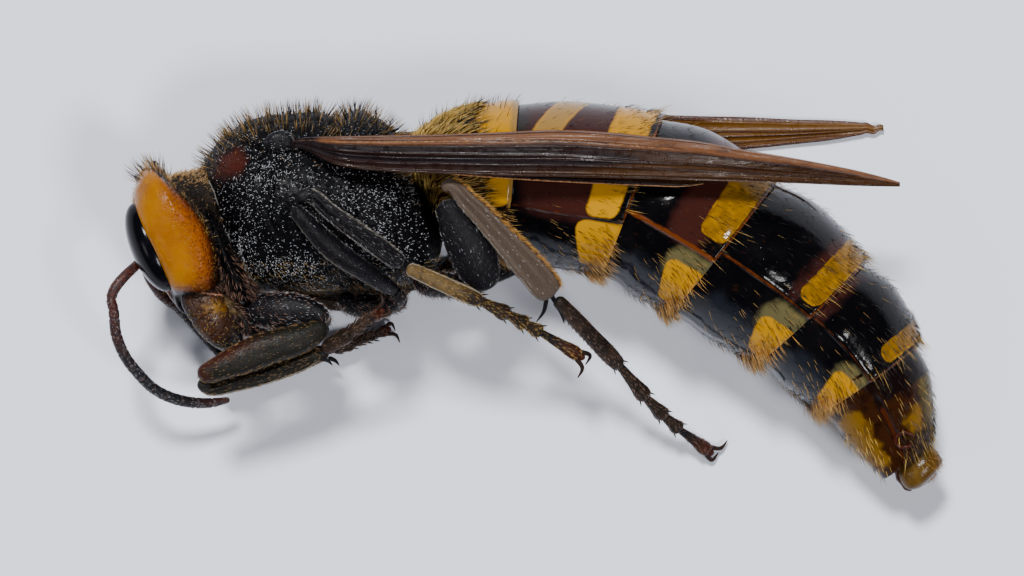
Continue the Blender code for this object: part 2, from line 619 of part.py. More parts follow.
def build_thorax():
    angles = round_angles(24)
    body_part("neck", NECK, "amber", round_angles(16))
    body_part("propleura", PROPLEURA, "black", round_angles(16))
    body_part("pronotum", PRONOTUM, "black", angles)
    body_part("mesothorax", MESOTHORAX, "black", angles)
    body_part("propodeum", PROPODEUM, "black", angles)
    for side, word in ((1, "left"), (-1, "right")):
        stations = [(x, y, side * out, *sizes) for x, y, out, *sizes in TEGULA]
        limb(f"tegula_{word}", stations, "brown", height=THORAX_MID)


def build_gaster():
    body_part("gaster_1", GASTER_FRONT + GASTER_EDGES[:1], "amber", plated_angles())
    for number, swell in enumerate(GASTER_SWELLS, start=2):
        front, rear = GASTER_EDGES[number - 2], GASTER_EDGES[number - 1]
        keep_off_the_floor(gaster_segment(f"gaster_{number}", front, rear, swell, "black"))
    limb("sting", STING, "brown", sides=8)
    limb("sting_sheath", STING_SHEATH, "amber")


def main():
    clear_scene()
    new_collection("hornet")
    new_collection("cutters")
    build_head()
    build_thorax()
    build_gaster()
    build_wings()
    for side, leg in LEGS.items():
        build_leg(side, leg)


main()
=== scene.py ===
"""The looks of an Asian giant hornet that lies on its right side. Millimetres until a mesh is made.

+X runs to the tail, +Y to the back and +Z up from the floor, which is the hornet's left.
"""

import math

import bpy
import numpy as np
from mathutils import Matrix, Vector


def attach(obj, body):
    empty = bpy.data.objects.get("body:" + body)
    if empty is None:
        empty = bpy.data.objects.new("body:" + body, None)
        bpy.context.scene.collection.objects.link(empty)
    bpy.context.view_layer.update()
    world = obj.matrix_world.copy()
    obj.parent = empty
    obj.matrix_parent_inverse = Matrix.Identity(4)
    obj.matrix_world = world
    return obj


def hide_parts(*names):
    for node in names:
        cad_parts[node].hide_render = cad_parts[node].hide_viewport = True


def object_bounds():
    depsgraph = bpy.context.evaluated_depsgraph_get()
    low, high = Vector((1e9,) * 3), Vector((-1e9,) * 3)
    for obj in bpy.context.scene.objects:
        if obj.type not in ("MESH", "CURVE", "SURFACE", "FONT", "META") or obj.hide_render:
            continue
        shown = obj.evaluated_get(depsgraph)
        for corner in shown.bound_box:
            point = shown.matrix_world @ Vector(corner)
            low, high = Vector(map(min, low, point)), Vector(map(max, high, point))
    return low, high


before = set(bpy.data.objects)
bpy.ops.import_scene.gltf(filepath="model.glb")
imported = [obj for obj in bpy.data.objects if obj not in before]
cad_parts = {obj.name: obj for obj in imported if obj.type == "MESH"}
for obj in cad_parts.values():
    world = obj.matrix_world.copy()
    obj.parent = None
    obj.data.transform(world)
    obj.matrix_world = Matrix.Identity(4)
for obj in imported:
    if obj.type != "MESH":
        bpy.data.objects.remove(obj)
cad_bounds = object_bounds()

MM = 0.001
UP = np.array([0.0, 0.0, 1.0])
PER_DEGREE = math.pi / 180
# The middle planes of thorax and head above the floor.
THORAX_MID = 4.85
HEAD_MID = 4.6
# The least height of any point above the floor.
FLOOR_GAP = 0.004
# The value of a field where its marking is nowhere near.
UNMARKED = -9.0
# Hair may stand this far outside the solids' box.
HAIR_ROOM = 0.38
HAIR_LIMITS = np.array([list(corner) for corner in cad_bounds]) / MM + np.array([[-HAIR_ROOM], [HAIR_ROOM]])

# Camera and photograph
IMAGE_WIDTH = 1024
MM_PER_PIXEL = 0.045
CAMERA_HEIGHT = 300.0
BODY_HEIGHT = 5.0
CAMERA_X, CAMERA_Y = -0.63, 0.29
SENSOR = 36.0

# A body section is back x, back y, belly x, belly y, half width, height of the middle.
NECK = [
    (-16.2, 5.2, -15.6, 3.7, 1.1), (-15.5, 5.45, -15.0, 3.4, 1.5), (-14.9, 5.55, -14.2, 3.2, 1.8),
    (-14.2, 5.8, -13.3, 2.9, 2.0),
]
PROPLEURA = [
    (-14.75, 4.1, -13.9, 3.6, 1.5), (-14.45, 3.3, -13.4, 2.85, 2.1), (-14.2, 2.2, -12.9, 1.85, 2.5),
    (-13.95, 1.15, -12.4, 0.9, 2.65), (-13.6, 0.4, -12.1, 0.2, 2.5), (-13.2, -0.35, -12.0, -0.25, 1.9),
]
THORAX = [
    (-14.55, 5.45, -13.6, 3.3, 1.2), (-14.5, 5.75, -13.3, 2.45, 2.0), (-14.2, 6.4, -12.9, 1.5, 2.85),
    (-13.6, 7.1, -12.5, 0.8, 3.5), (-12.9, 7.6, -12.2, 0.5, 3.95), (-11.9, 8.0, -11.1, 0.3, 4.2),
    (-10.4, 8.15, -10.2, 0.2, 4.3), (-8.9, 8.1, -8.8, 0.2, 4.3), (-8.5, 7.82, -8.5, 0.2, 4.3),
    (-8.1, 8.08, -8.1, 0.2, 4.3), (-7.2, 8.2, -7.2, 0.2, 4.2), (-6.5, 7.85, -6.4, 0.3, 4.0),
    (-6.1, 7.5, -6.1, 0.4, 3.85), (-5.75, 6.6, -5.1, 0.5, 3.5), (-5.4, 5.6, -4.3, 0.9, 3.0),
    (-4.95, 4.8, -3.9, 1.7, 2.2), (-4.65, 4.2, -3.75, 2.4, 1.0),
]
GASTER_FRONT = [
    (-4.9, 4.0, -4.0, 2.6, 0.6, 4.8), (-5.1, 5.2, -3.4, 2.3, 1.6, 4.78), (-5.05, 6.9, -2.9, 2.0, 2.6, 4.75),
    (-3.9, 7.95, -2.1, 1.6, 3.4, 4.75), (-1.8, 8.6, -1.3, 1.5, 3.7, 4.7),
]
# The rear edge of each gaster segment, the first to the sixth.
GASTER_EDGES = [
    (-0.3, 8.8, -0.9, 1.5, 3.75, 4.7), (6.2, 8.1, 3.4, 0.75, 4.3, 4.5), (11.4, 5.2, 6.4, -1.0, 4.4, 4.33),
    (15.4, 1.5, 10.4, -3.2, 3.85, 4.0), (17.8, -2.3, 13.3, -5.4, 3.1, 3.5),
    (18.3, -6.8, 16.2, -8.4, 1.25, 2.9),
]
GASTER_SWELLS = [(0.2, 0.1), (0.45, 0.15), (0.4, 0.15), (0.5, 0.15), (0.45, 0.1)]
# How far round from the back each back plate reaches, in degrees.
PLATE_ENDS = [108, 110, 103, 96, 94, 94]

FACE_LINE = [(-17.05, 5.6), (-17.45, 4.95), (-17.63, 4.15), (-17.5, 3.0), (-16.95, 1.8), (-16.45, 0.95)]
CLYPEUS_LINE = [(-16.15, 0.25), (-15.8, -0.35), (-15.35, -0.85), (-14.85, -0.9)]
CHEEK_LINE = [(-16.1, 0.4), (-15.8, 0.0), (-15.4, -0.15), (-14.6, -0.1)]
NAPE_LINE = [
    (-13.87, 0.35), (-13.72, 1.1), (-13.84, 2.14), (-14.26, 3.17), (-15.1, 4.3), (-15.95, 5.1),
    (-16.55, 5.65),
]
HEAD_CENTRE = (-15.1, 2.5)
HEAD_HALF_WIDTH = 4.62
HEAD_SQUARENESS = 4.0
CLYPEUS_HALF_WIDTH = 1.6
NAPE_HOLLOW = 0.75
NAPE_HALF_WIDTH = 2.8
EYE_LEAN = math.radians(23)
EYE_CENTRE = (-16.73, 2.12)
EYE_OUT = 2.7
EYE_RADII = (0.92, 2.12, 1.45)

# Limb stations are x, y, z, half width seen from above, half thickness.
ANTENNA_LEFT = [
    (-17.2, 1.65, 5.4, 0.18), (-17.55, 1.25, 5.9, 0.22), (-18.0, 0.8, 6.25, 0.24), (-18.5, 0.1, 6.4, 0.24),
    (-18.58, -0.22, 6.4, 0.22), (-18.5, -0.6, 6.35, 0.23), (-18.38, -1.8, 6.0, 0.25),
    (-18.0, -2.8, 5.5, 0.25), (-17.42, -3.6, 4.9, 0.25), (-16.8, -4.25, 4.2, 0.25),
    (-15.3, -4.87, 3.1, 0.25), (-14.3, -4.92, 2.6, 0.22), (-13.45, -4.78, 2.3, 0.13),
]
ANTENNA_RIGHT = [
    (-17.2, 1.65, 4.1, 0.18), (-17.1, 0.95, 3.75, 0.22), (-16.75, 0.3, 3.25, 0.24),
    (-16.6, 0.05, 2.95, 0.22), (-16.3, -0.22, 2.5, 0.23), (-15.8, -0.6, 1.75, 0.25),
    (-15.25, -1.2, 1.15, 0.25), (-14.6, -1.95, 0.85, 0.25), (-13.8, -2.75, 0.65, 0.25),
    (-12.8, -3.35, 0.48, 0.25), (-11.8, -3.55, 0.36, 0.22), (-11.0, -3.45, 0.28, 0.14),
]
MANDIBLE = [
    (-14.85, 0.6, 2.4, 0.6, 0.4), (-14.62, 0.05, 2.5, 0.88, 0.5), (-14.3, -0.6, 2.5, 0.92, 0.56),
    (-13.8, -1.5, 2.1, 0.78, 0.54), (-13.2, -2.2, 1.4, 0.5, 0.4), (-12.8, -2.65, 0.95, 0.16, 0.18),
]
TEGULA = [
    (-11.6, 6.65, 3.7, 0.2, 0.15), (-11.25, 6.75, 3.85, 0.42, 0.26), (-10.8, 6.85, 3.88, 0.45, 0.28),
    (-10.35, 6.9, 3.85, 0.26, 0.2),
]
LEGS = {
    "front_left": {
        "coxa": [
            (-12.5, -0.25, 5.7, 0.45, 0.4), (-12.1, -0.6, 5.9, 0.7, 0.5), (-11.3, -0.75, 6.1, 0.86, 0.6),
            (-10.2, -0.75, 6.3, 0.74, 0.55), (-9.3, -0.9, 6.45, 0.46, 0.38),
            (-8.95, -1.3, 6.55, 0.36, 0.32),
        ],
        "femur": [
            (-8.9, -1.4, 6.6, 0.3, 0.26), (-9.8, -1.86, 6.72, 0.6, 0.45), (-11.6, -2.42, 6.85, 0.74, 0.5),
            (-13.45, -3.17, 7.0, 0.6, 0.42), (-14.65, -3.68, 6.95, 0.36, 0.32),
        ],
        "tibia": [
            (-14.6, -3.9, 6.7, 0.28, 0.26), (-14.2, -4.2, 6.2, 0.3, 0.28), (-12.95, -3.95, 6.0, 0.38, 0.34),
            (-11.05, -3.35, 5.95, 0.44, 0.38), (-9.8, -2.82, 6.05, 0.44, 0.38),
            (-9.25, -2.55, 6.15, 0.3, 0.3),
        ],
        "tarsus": [
            (-9.1, -2.5, 6.25), (-7.85, -1.7, 7.0), (-7.5, -1.45, 7.25), (-7.2, -1.22, 7.4),
            (-6.95, -1.05, 7.5), (-6.55, -0.82, 7.6),
        ],
        "radius": 0.33, "claw_turn": -1, "tones": ("black", "green", "green", "brown"),
    },
    "mid_left": {
        "coxa": [
            (-8.3, 0.0, 5.4, 0.35, 0.35), (-7.9, -0.4, 5.7, 0.45, 0.42), (-7.2, -0.5, 6.0, 0.54, 0.5),
            (-6.3, -0.45, 6.3, 0.48, 0.42), (-5.7, -0.1, 6.8, 0.34, 0.32), (-5.9, 0.2, 7.2, 0.28, 0.28),
        ],
        "femur": [
            (-5.85, 0.15, 7.15, 0.28, 0.28), (-6.9, 0.85, 8.4, 0.42, 0.4), (-8.5, 1.95, 9.4, 0.5, 0.42),
            (-9.6, 3.05, 9.8, 0.42, 0.4), (-10.3, 3.85, 9.9, 0.3, 0.3),
        ],
        "tibia": [
            (-10.2, 4.2, 9.95, 0.26, 0.26), (-9.75, 4.4, 9.9, 0.3, 0.28), (-8.6, 3.6, 9.9, 0.38, 0.34),
            (-7.2, 2.6, 9.75, 0.42, 0.36), (-6.05, 1.75, 9.5, 0.44, 0.36), (-5.5, 1.35, 9.3, 0.32, 0.3),
        ],
        "tarsus": [
            (-5.3, 1.2, 9.2), (-2.0, -0.3, 7.9), (-0.8, -0.9, 7.0), (0.0, -1.35, 6.3), (0.65, -1.7, 5.8),
            (2.4, -2.75, 4.9),
        ],
        "radius": 0.36, "claw_turn": 1, "tones": ("black", "black", "black", "gold"),
    },
    "hind_left": {
        "coxa": [
            (-4.9, 0.8, 5.5, 0.35, 0.35), (-4.5, 0.45, 5.9, 0.45, 0.42), (-3.7, 0.45, 6.5, 0.56, 0.5),
            (-2.8, 0.3, 7.0, 0.45, 0.42), (-2.2, 0.35, 7.4, 0.32, 0.3), (-1.95, 0.65, 7.7, 0.28, 0.28),
        ],
        "femur": [
            (-1.85, 0.2, 7.7, 0.5, 0.3), (-2.05, 1.0, 8.1, 0.92, 0.42), (-2.5, 2.0, 8.5, 0.98, 0.46),
            (-3.1, 3.1, 8.75, 0.8, 0.42), (-3.65, 4.15, 8.95, 0.45, 0.3),
        ],
        "tibia": [
            (-3.75, 4.65, 9.25, 0.2, 0.2), (-3.5, 4.8, 9.3, 0.26, 0.24), (-2.5, 4.0, 9.3, 0.44, 0.3),
            (-1.1, 2.55, 9.05, 0.56, 0.32), (0.3, 1.0, 8.4, 0.68, 0.34), (0.9, 0.3, 8.0, 0.66, 0.34),
            (1.2, -0.05, 7.8, 0.5, 0.28),
        ],
        "tarsus": [
            (1.35, -0.2, 7.6), (4.25, -3.25, 4.6), (5.45, -4.7, 3.3), (6.3, -5.55, 2.4), (7.0, -6.15, 1.75),
            (8.35, -7.15, 0.6),
        ],
        "radius": 0.36, "claw_turn": -1, "tones": ("black", "black", "grey", "brown"),
    },
    "front_right": {
        "coxa": [
            (-12.5, -0.3, 4.0, 0.35, 0.35), (-12.1, -0.65, 3.8, 0.45, 0.42), (-11.3, -0.85, 3.6, 0.6, 0.6),
            (-10.2, -0.85, 3.4, 0.55, 0.55), (-9.3, -0.95, 3.2, 0.36, 0.34), (-8.95, -1.4, 3.1, 0.28, 0.28),
        ],
        "femur": [
            (-8.95, -1.45, 3.1, 0.26, 0.26), (-9.8, -1.9, 3.0, 0.45, 0.42), (-11.6, -2.65, 2.85, 0.5, 0.46),
            (-13.2, -3.35, 2.75, 0.42, 0.4), (-14.2, -3.8, 2.65, 0.3, 0.3),
        ],
        "tibia": [
            (-14.0, -4.0, 2.3, 0.26, 0.26), (-13.6, -4.05, 2.0, 0.28, 0.28),
            (-12.5, -3.75, 1.75, 0.36, 0.34), (-10.9, -3.2, 1.55, 0.4, 0.36), (-9.5, -2.75, 1.4, 0.4, 0.36),
            (-9.0, -2.57, 1.35, 0.3, 0.28),
        ],
        "tarsus": [
            (-8.85, -2.5, 1.32), (-7.85, -2.2, 1.1), (-7.5, -2.05, 1.0), (-7.2, -1.95, 0.9),
            (-6.9, -1.85, 0.8), (-6.4, -1.65, 0.6),
        ],
        "radius": 0.3, "claw_turn": 1, "tones": ("black", "black", "brown", "brown"),
    },
    "mid_right": {
        "coxa": [
            (-8.3, 0.0, 4.3, 0.35, 0.35), (-7.9, -0.4, 4.0, 0.45, 0.42), (-7.2, -0.5, 3.7, 0.54, 0.5),
            (-6.3, -0.45, 3.4, 0.48, 0.42), (-5.7, -0.3, 2.9, 0.34, 0.32), (-5.8, 0.0, 2.45, 0.28, 0.28),
        ],
        "femur": [
            (-5.85, 0.05, 2.4, 0.28, 0.28), (-7.3, 0.35, 1.6, 0.42, 0.4), (-9.0, 0.65, 1.2, 0.45, 0.42),
            (-10.3, 0.8, 1.05, 0.36, 0.36), (-11.0, 0.85, 0.95, 0.28, 0.28),
        ],
        "tibia": [
            (-11.25, 0.3, 0.6, 0.26, 0.26), (-10.9, 0.1, 0.5, 0.28, 0.28), (-9.6, -0.25, 0.38, 0.36, 0.34),
            (-8.0, -0.35, 0.38, 0.4, 0.36), (-6.8, -0.15, 0.38, 0.38, 0.36), (-6.2, 0.05, 0.38, 0.3, 0.28),
        ],
        "tarsus": [
            (-6.1, 0.1, 0.38), (-3.9, 1.1, 0.36), (-3.3, 1.4, 0.36), (-2.8, 1.65, 0.36),
            (-2.35, 1.85, 0.35), (-1.5, 2.2, 0.34),
        ],
        "radius": 0.33, "claw_turn": 1, "tones": ("black", "black", "brown", "brown"),
    },
    "hind_right": {
        "coxa": [
            (-4.9, 0.8, 4.2, 0.35, 0.35), (-4.5, 0.45, 3.8, 0.45, 0.42), (-3.7, 0.45, 3.2, 0.56, 0.5),
            (-2.8, 0.35, 2.7, 0.45, 0.42), (-2.2, 0.4, 2.3, 0.32, 0.3), (-1.85, 0.55, 2.0, 0.28, 0.28),
        ],
        "femur": [
            (-1.85, 0.6, 1.95, 0.28, 0.28), (-0.9, 1.2, 1.3, 0.46, 0.4), (0.5, 1.75, 0.85, 0.5, 0.38),
            (1.9, 1.9, 0.72, 0.4, 0.36), (2.75, 1.8, 0.64, 0.28, 0.28),
        ],
        "tibia": [
            (2.95, 1.7, 0.56, 0.26, 0.26), (3.2, 1.6, 0.5, 0.3, 0.28), (4.0, 1.3, 0.4, 0.42, 0.34),
            (5.3, 0.7, 0.37, 0.5, 0.34), (6.5, 0.05, 0.37, 0.44, 0.34), (7.15, -0.33, 0.37, 0.28, 0.28),
        ],
        "tarsus": [
            (7.25, -0.4, 0.37), (9.3, -1.6, 0.36), (10.0, -2.1, 0.36), (10.6, -2.55, 0.36),
            (11.1, -2.95, 0.35), (12.1, -3.6, 0.35),
        ],
        "radius": 0.33, "claw_turn": -1, "tones": ("black", "black", "grey", "brown"),
    },
}
# How strongly each marking of the leg's look shows for a tone.
LEG_TONES = {
    "black": {"dark": 0.6}, "green": {"green": 0.4, "dark": -0.2}, "gold": {"warm": 0.1}, "brown": {},
    "grey": {"grey": 0.4}, "red": {"reddening": -0.1, "dark": -0.15},
}

# Wing stations are x, y and z of the inner edge, then y and z of the leading edge.
FOREWING_LEFT = [
    (-10.5, 6.85, 8.75, 6.6, 8.85), (-9.95, 6.95, 8.95, 6.45, 9.05), (-8.4, 7.0, 9.65, 5.75, 10.2),
    (-6.2, 7.05, 9.55, 5.45, 10.3), (-3.9, 7.1, 9.4, 5.35, 10.3), (-1.2, 7.2, 9.35, 5.25, 10.35),
    (1.5, 7.3, 9.35, 5.2, 10.35), (3.6, 7.2, 9.4, 5.15, 10.35), (5.6, 7.0, 9.35, 5.1, 10.3),
    (7.6, 6.8, 9.1, 5.05, 10.1), (9.6, 6.45, 8.7, 5.0, 9.6), (11.5, 6.15, 8.2, 4.95, 9.0),
    (13.2, 5.85, 7.7, 4.9, 8.4), (14.7, 5.55, 7.35, 4.85, 7.9), (15.9, 5.25, 7.2, 4.83, 7.5),
    (16.7, 5.02, 7.1, 4.82, 7.15),
]
FOREWING_RIGHT = [
    (-10.5, 6.9, 1.2, 6.7, 1.1), (-9.95, 7.05, 0.8, 6.6, 0.7), (-8.4, 7.2, 0.34, 6.3, 0.32),
    (-6.2, 7.4, 0.3, 6.1, 0.3), (-3.9, 7.5, 0.3, 5.9, 0.3), (-1.2, 7.7, 0.3, 5.85, 0.3),
    (1.5, 7.9, 0.3, 5.95, 0.3), (3.6, 8.1, 0.3, 6.3, 0.3), (5.8, 8.2, 0.3, 6.45, 0.3),
    (8.0, 8.15, 0.3, 6.55, 0.3), (10.2, 8.1, 0.3, 6.65, 0.3), (12.2, 8.0, 0.3, 6.85, 0.3),
    (14.0, 7.95, 0.3, 7.05, 0.3), (15.4, 7.85, 0.3, 7.3, 0.3), (16.35, 7.7, 0.3, 7.45, 0.3),
]
# Hindwing stations are x and the y of both edges.
HINDWING_LEFT = [
    (-8.4, 6.9, 6.7), (-7.9, 6.85, 6.5), (-6.2, 6.75, 5.8), (-3.9, 6.6, 5.4), (-1.2, 6.6, 5.15),
    (1.5, 6.6, 4.98), (3.6, 6.5, 4.88), (5.6, 6.2, 4.8), (7.0, 5.6, 4.78), (7.85, 5.15, 4.9),
]
HINDWING_RIGHT = [
    (-8.4, 7.3, 7.15), (-7.9, 7.3, 7.1), (-6.2, 7.35, 7.0), (-3.9, 7.6, 7.1), (-1.2, 8.1, 7.35),
    (1.5, 8.35, 7.6), (3.6, 8.3, 7.6), (5.6, 8.05, 7.4), (7.2, 7.75, 7.3), (7.9, 7.5, 7.35),
]
HINDWING_DROP = 0.75
# Veins are the share across the wing where they start and end, then the shares along it.
FOREWING_VEINS = [
    (0.06, 0.12, 0.0, 0.7), (0.2, 0.34, 0.06, 0.62), (0.34, 0.5, 0.05, 0.95), (0.52, 0.66, 0.0, 0.55),
    (0.66, 0.6, 0.3, 1.0), (0.84, 0.76, 0.0, 0.9), (0.965, 0.96, 0.0, 1.0),
]
HINDWING_VEINS = [(0.25, 0.35, 0.0, 0.8), (0.6, 0.75, 0.0, 0.9), (0.95, 0.95, 0.0, 1.0)]


def rgb(red, green, blue):
    """A colour in linear light from 0 to 255 values."""
    def linear(value):
        share = value / 255
        return share / 12.92 if share <= 0.04045 else ((share + 0.055) / 1.055) ** 2.4
    return (linear(red), linear(green), linear(blue), 1.0)


def unit(vectors):
    return vectors / np.maximum(np.linalg.norm(vectors, axis=-1, keepdims=True), 1e-9)


def ease(low, high, values):
    """Rises smoothly from 0 at low to 1 at high."""
    share = np.clip((values - low) / (high - low), 0, 1)
    return share * share * (3 - 2 * share)


def bell(values, middle, width):
    """A hump of height 1 round the middle."""
    return np.exp(-(((values - middle) / width) ** 2))


def apart(values, *places):
    """How far each value is from the nearest of the places."""
    return np.abs(np.asarray(values)[..., None] - places).min(axis=-1)


def window(values, low, high, lower, lowest):
    """Rises from 0 to 1 between the first two values and falls back between the last two."""
    return ease(low, high, values) * (1 - ease(lower, lowest, values))


def circle(columns):
    """Evenly spaced angles of one turn."""
    return np.arange(columns) * 2 * math.pi / columns


def ball(rows, columns, gap):
    """The x, y and z of a unit ball, whose rings leave a small gap at both poles."""
    lean = np.linspace(gap, math.pi - gap, rows)[:, None]
    angle = circle(columns)
    return np.sin(lean) * np.cos(angle), np.sin(lean) * np.sin(angle), np.cos(lean) * np.ones(columns)


def knots_of(points):
    """How far along the line each point is, as a share of its length."""
    steps = np.linalg.norm(np.diff(points, axis=0), axis=1)
    knots = np.concatenate([[0], np.cumsum(steps)])
    return knots / knots[-1]


def curve_through(stations, places, measured=3):
    """Reads a smooth curve through stations at places from 0 to 1. The first columns give the distance."""
    stations = np.asarray(stations, float)
    knots = knots_of(stations[:, :measured])
    slopes = np.gradient(stations, knots, axis=0)
    near = np.clip(np.searchsorted(knots, places, "right") - 1, 0, len(knots) - 2)
    width = (knots[near + 1] - knots[near])[:, None]
    t = (places - knots[near])[:, None] / width
    return (
        stations[near] * (2 * t**3 - 3 * t**2 + 1) + stations[near + 1] * (3 * t**2 - 2 * t**3)
        + slopes[near] * width * (t**3 - 2 * t**2 + t) + slopes[near + 1] * width * (t**3 - t**2)
    )


def line_distance(points, line):
    """Distance seen from the side from each point to a line of corners."""
    flat = points[..., :2]
    best = np.full(flat.shape[:-1], 1e9)
    for start, end in zip(np.array(line[:-1], float), np.array(line[1:], float)):
        step = end - start
        share = np.clip(((flat - start) @ step) / (step @ step), 0, 1)
        best = np.minimum(best, np.linalg.norm(flat - (start + share[..., None] * step), axis=-1))
    return best


# Materials

LOOKS = {}
# The colours of hair at its root, at its tip and where it is a dark one.
HAIRS = {
    "dark_hair": ((12, 9, 8), (48, 36, 22), (160, 124, 62)),
    "golden_hair": ((164, 120, 34), (226, 194, 110), (30, 18, 10)),
    "orange_hair": ((160, 92, 8), (226, 182, 96), (44, 22, 8)),
    "silver_down": ((176, 178, 182), (236, 238, 244), (84, 80, 78)),
    "tan_wool": ((150, 108, 58), (214, 178, 126), (18, 11, 8)),
    "rosy_hair": ((92, 56, 42), (190, 150, 128), (20, 12, 9)),
}


class Look:
    """A node material for cuticle, membrane or hair, built up in layers."""

    def __init__(self, name, colour, roughness, specular=0.5, alpha=1.0):
        self.material = bpy.data.materials.new(name)
        self.material.use_nodes = True
        self.tree = self.material.node_tree
        self.shader = self.tree.nodes["Principled BSDF"]
        for socket, value in (("Roughness", roughness), ("Specular IOR Level", specular), ("Alpha", alpha)):
            self.shader.inputs[socket].default_value = value
        self.place = self.add("ShaderNodeTexCoord").outputs["Object"]
        self.colour = rgb(*colour)
        self.height = None
        self.markings = []
        LOOKS[name] = self

    def add(self, kind, inputs=None, **settings):
        """A new node. Its inputs are numbers, colours or what other nodes put out."""
        made = self.tree.nodes.new(kind)
        for key, value in settings.items():
            setattr(made, key, value)
        for socket, value in (inputs or {}).items():
            self.feed(made.inputs[socket], value)
        return made

    def feed(self, socket, value):
        if isinstance(value, bpy.types.NodeSocket):
            self.tree.links.new(value, socket)
        else:
            socket.default_value = value

    def math(self, operation, first, second):
        return self.add("ShaderNodeMath", {0: first, 1: second}, operation=operation).outputs[0]

    def noise(self, size, stretch=None):
        """Noise with features of this size in millimetres, from 0 to 1."""
        place = self.place
        if stretch:
            place = self.add("ShaderNodeMapping", {"Scale": stretch, "Vector": place}).outputs["Vector"]
        inputs = {"Scale": 1 / (size * MM), "Detail": 3.0, "Roughness": 0.55, "Vector": place}
        return self.add("ShaderNodeTexNoise", inputs).outputs["Fac"]

    def cells(self, size):
        inputs = {"Scale": 1 / (size * MM), "Vector": self.place}
        return self.add("ShaderNodeTexVoronoi", inputs, feature="F1").outputs["Distance"]

    def field(self, name):
        return self.add("ShaderNodeAttribute", attribute_name=name).outputs["Fac"]

    def ramp(self, value, low, high, floor=0.0, ceiling=1.0):
        inputs = {"From Min": low, "From Max": high, "To Min": floor, "To Max": ceiling, "Value": value}
        return self.add("ShaderNodeMapRange", inputs, interpolation_type="SMOOTHSTEP").outputs["Result"]

    def layer(self, mask, colour):
        """Lays a colour over what is there, where the mask is 1."""
        inputs = {"Factor": mask, 6: self.colour, 7: rgb(*colour)}
        self.colour = self.add("ShaderNodeMix", inputs, data_type="RGBA").outputs[2]

    def mark(self, **markings):
        """Colours where a field is above zero. A field is a distance from the marking's edge in millimetres.

        A marking has a colour, the softness of its edge, how far the edge wavers, the size of the waves
        and how much of the colour is laid on.
        """
        for name, (colour, soft, wobble, size, *amount) in markings.items():
            self.markings.append(name)
            waver = self.math("MULTIPLY", self.math("SUBTRACT", self.noise(size), 0.5), 2 * wobble)
            edge = self.math("ADD", self.field(name), waver)
            self.layer(self.ramp(edge, -soft, soft, 0.0, *amount), colour)

    def mottle(self, size, colour, low, high, stretch=None, amount=1.0):
        self.layer(self.ramp(self.noise(size, stretch), low, high, 0.0, amount), colour)

    def relief(self, value, depth):
        """Adds to the bump, in millimetres."""
        raised = self.math("MULTIPLY", value, depth)
        self.height = raised if self.height is None else self.math("ADD", self.height, raised)

    def grain(self, size, depth, stretch=None):
        self.relief(self.noise(size, stretch), depth)

    def pits(self, size, low, high, depth):
        self.relief(self.ramp(self.cells(size), low, high), depth)

    def wear(self, low, high, size=0.4):
        """Lets the roughness vary between two values."""
        self.feed(self.shader.inputs["Roughness"], self.ramp(self.noise(size), 0.3, 0.7, low, high))

    def done(self):
        self.feed(self.shader.inputs["Base Color"], self.colour)
        if self.height is not None:
            bump = self.add("ShaderNodeBump", {"Strength": 1.0, "Distance": MM, "Height": self.height})
            self.tree.links.new(bump.outputs["Normal"], self.shader.inputs["Normal"])
        return self.material


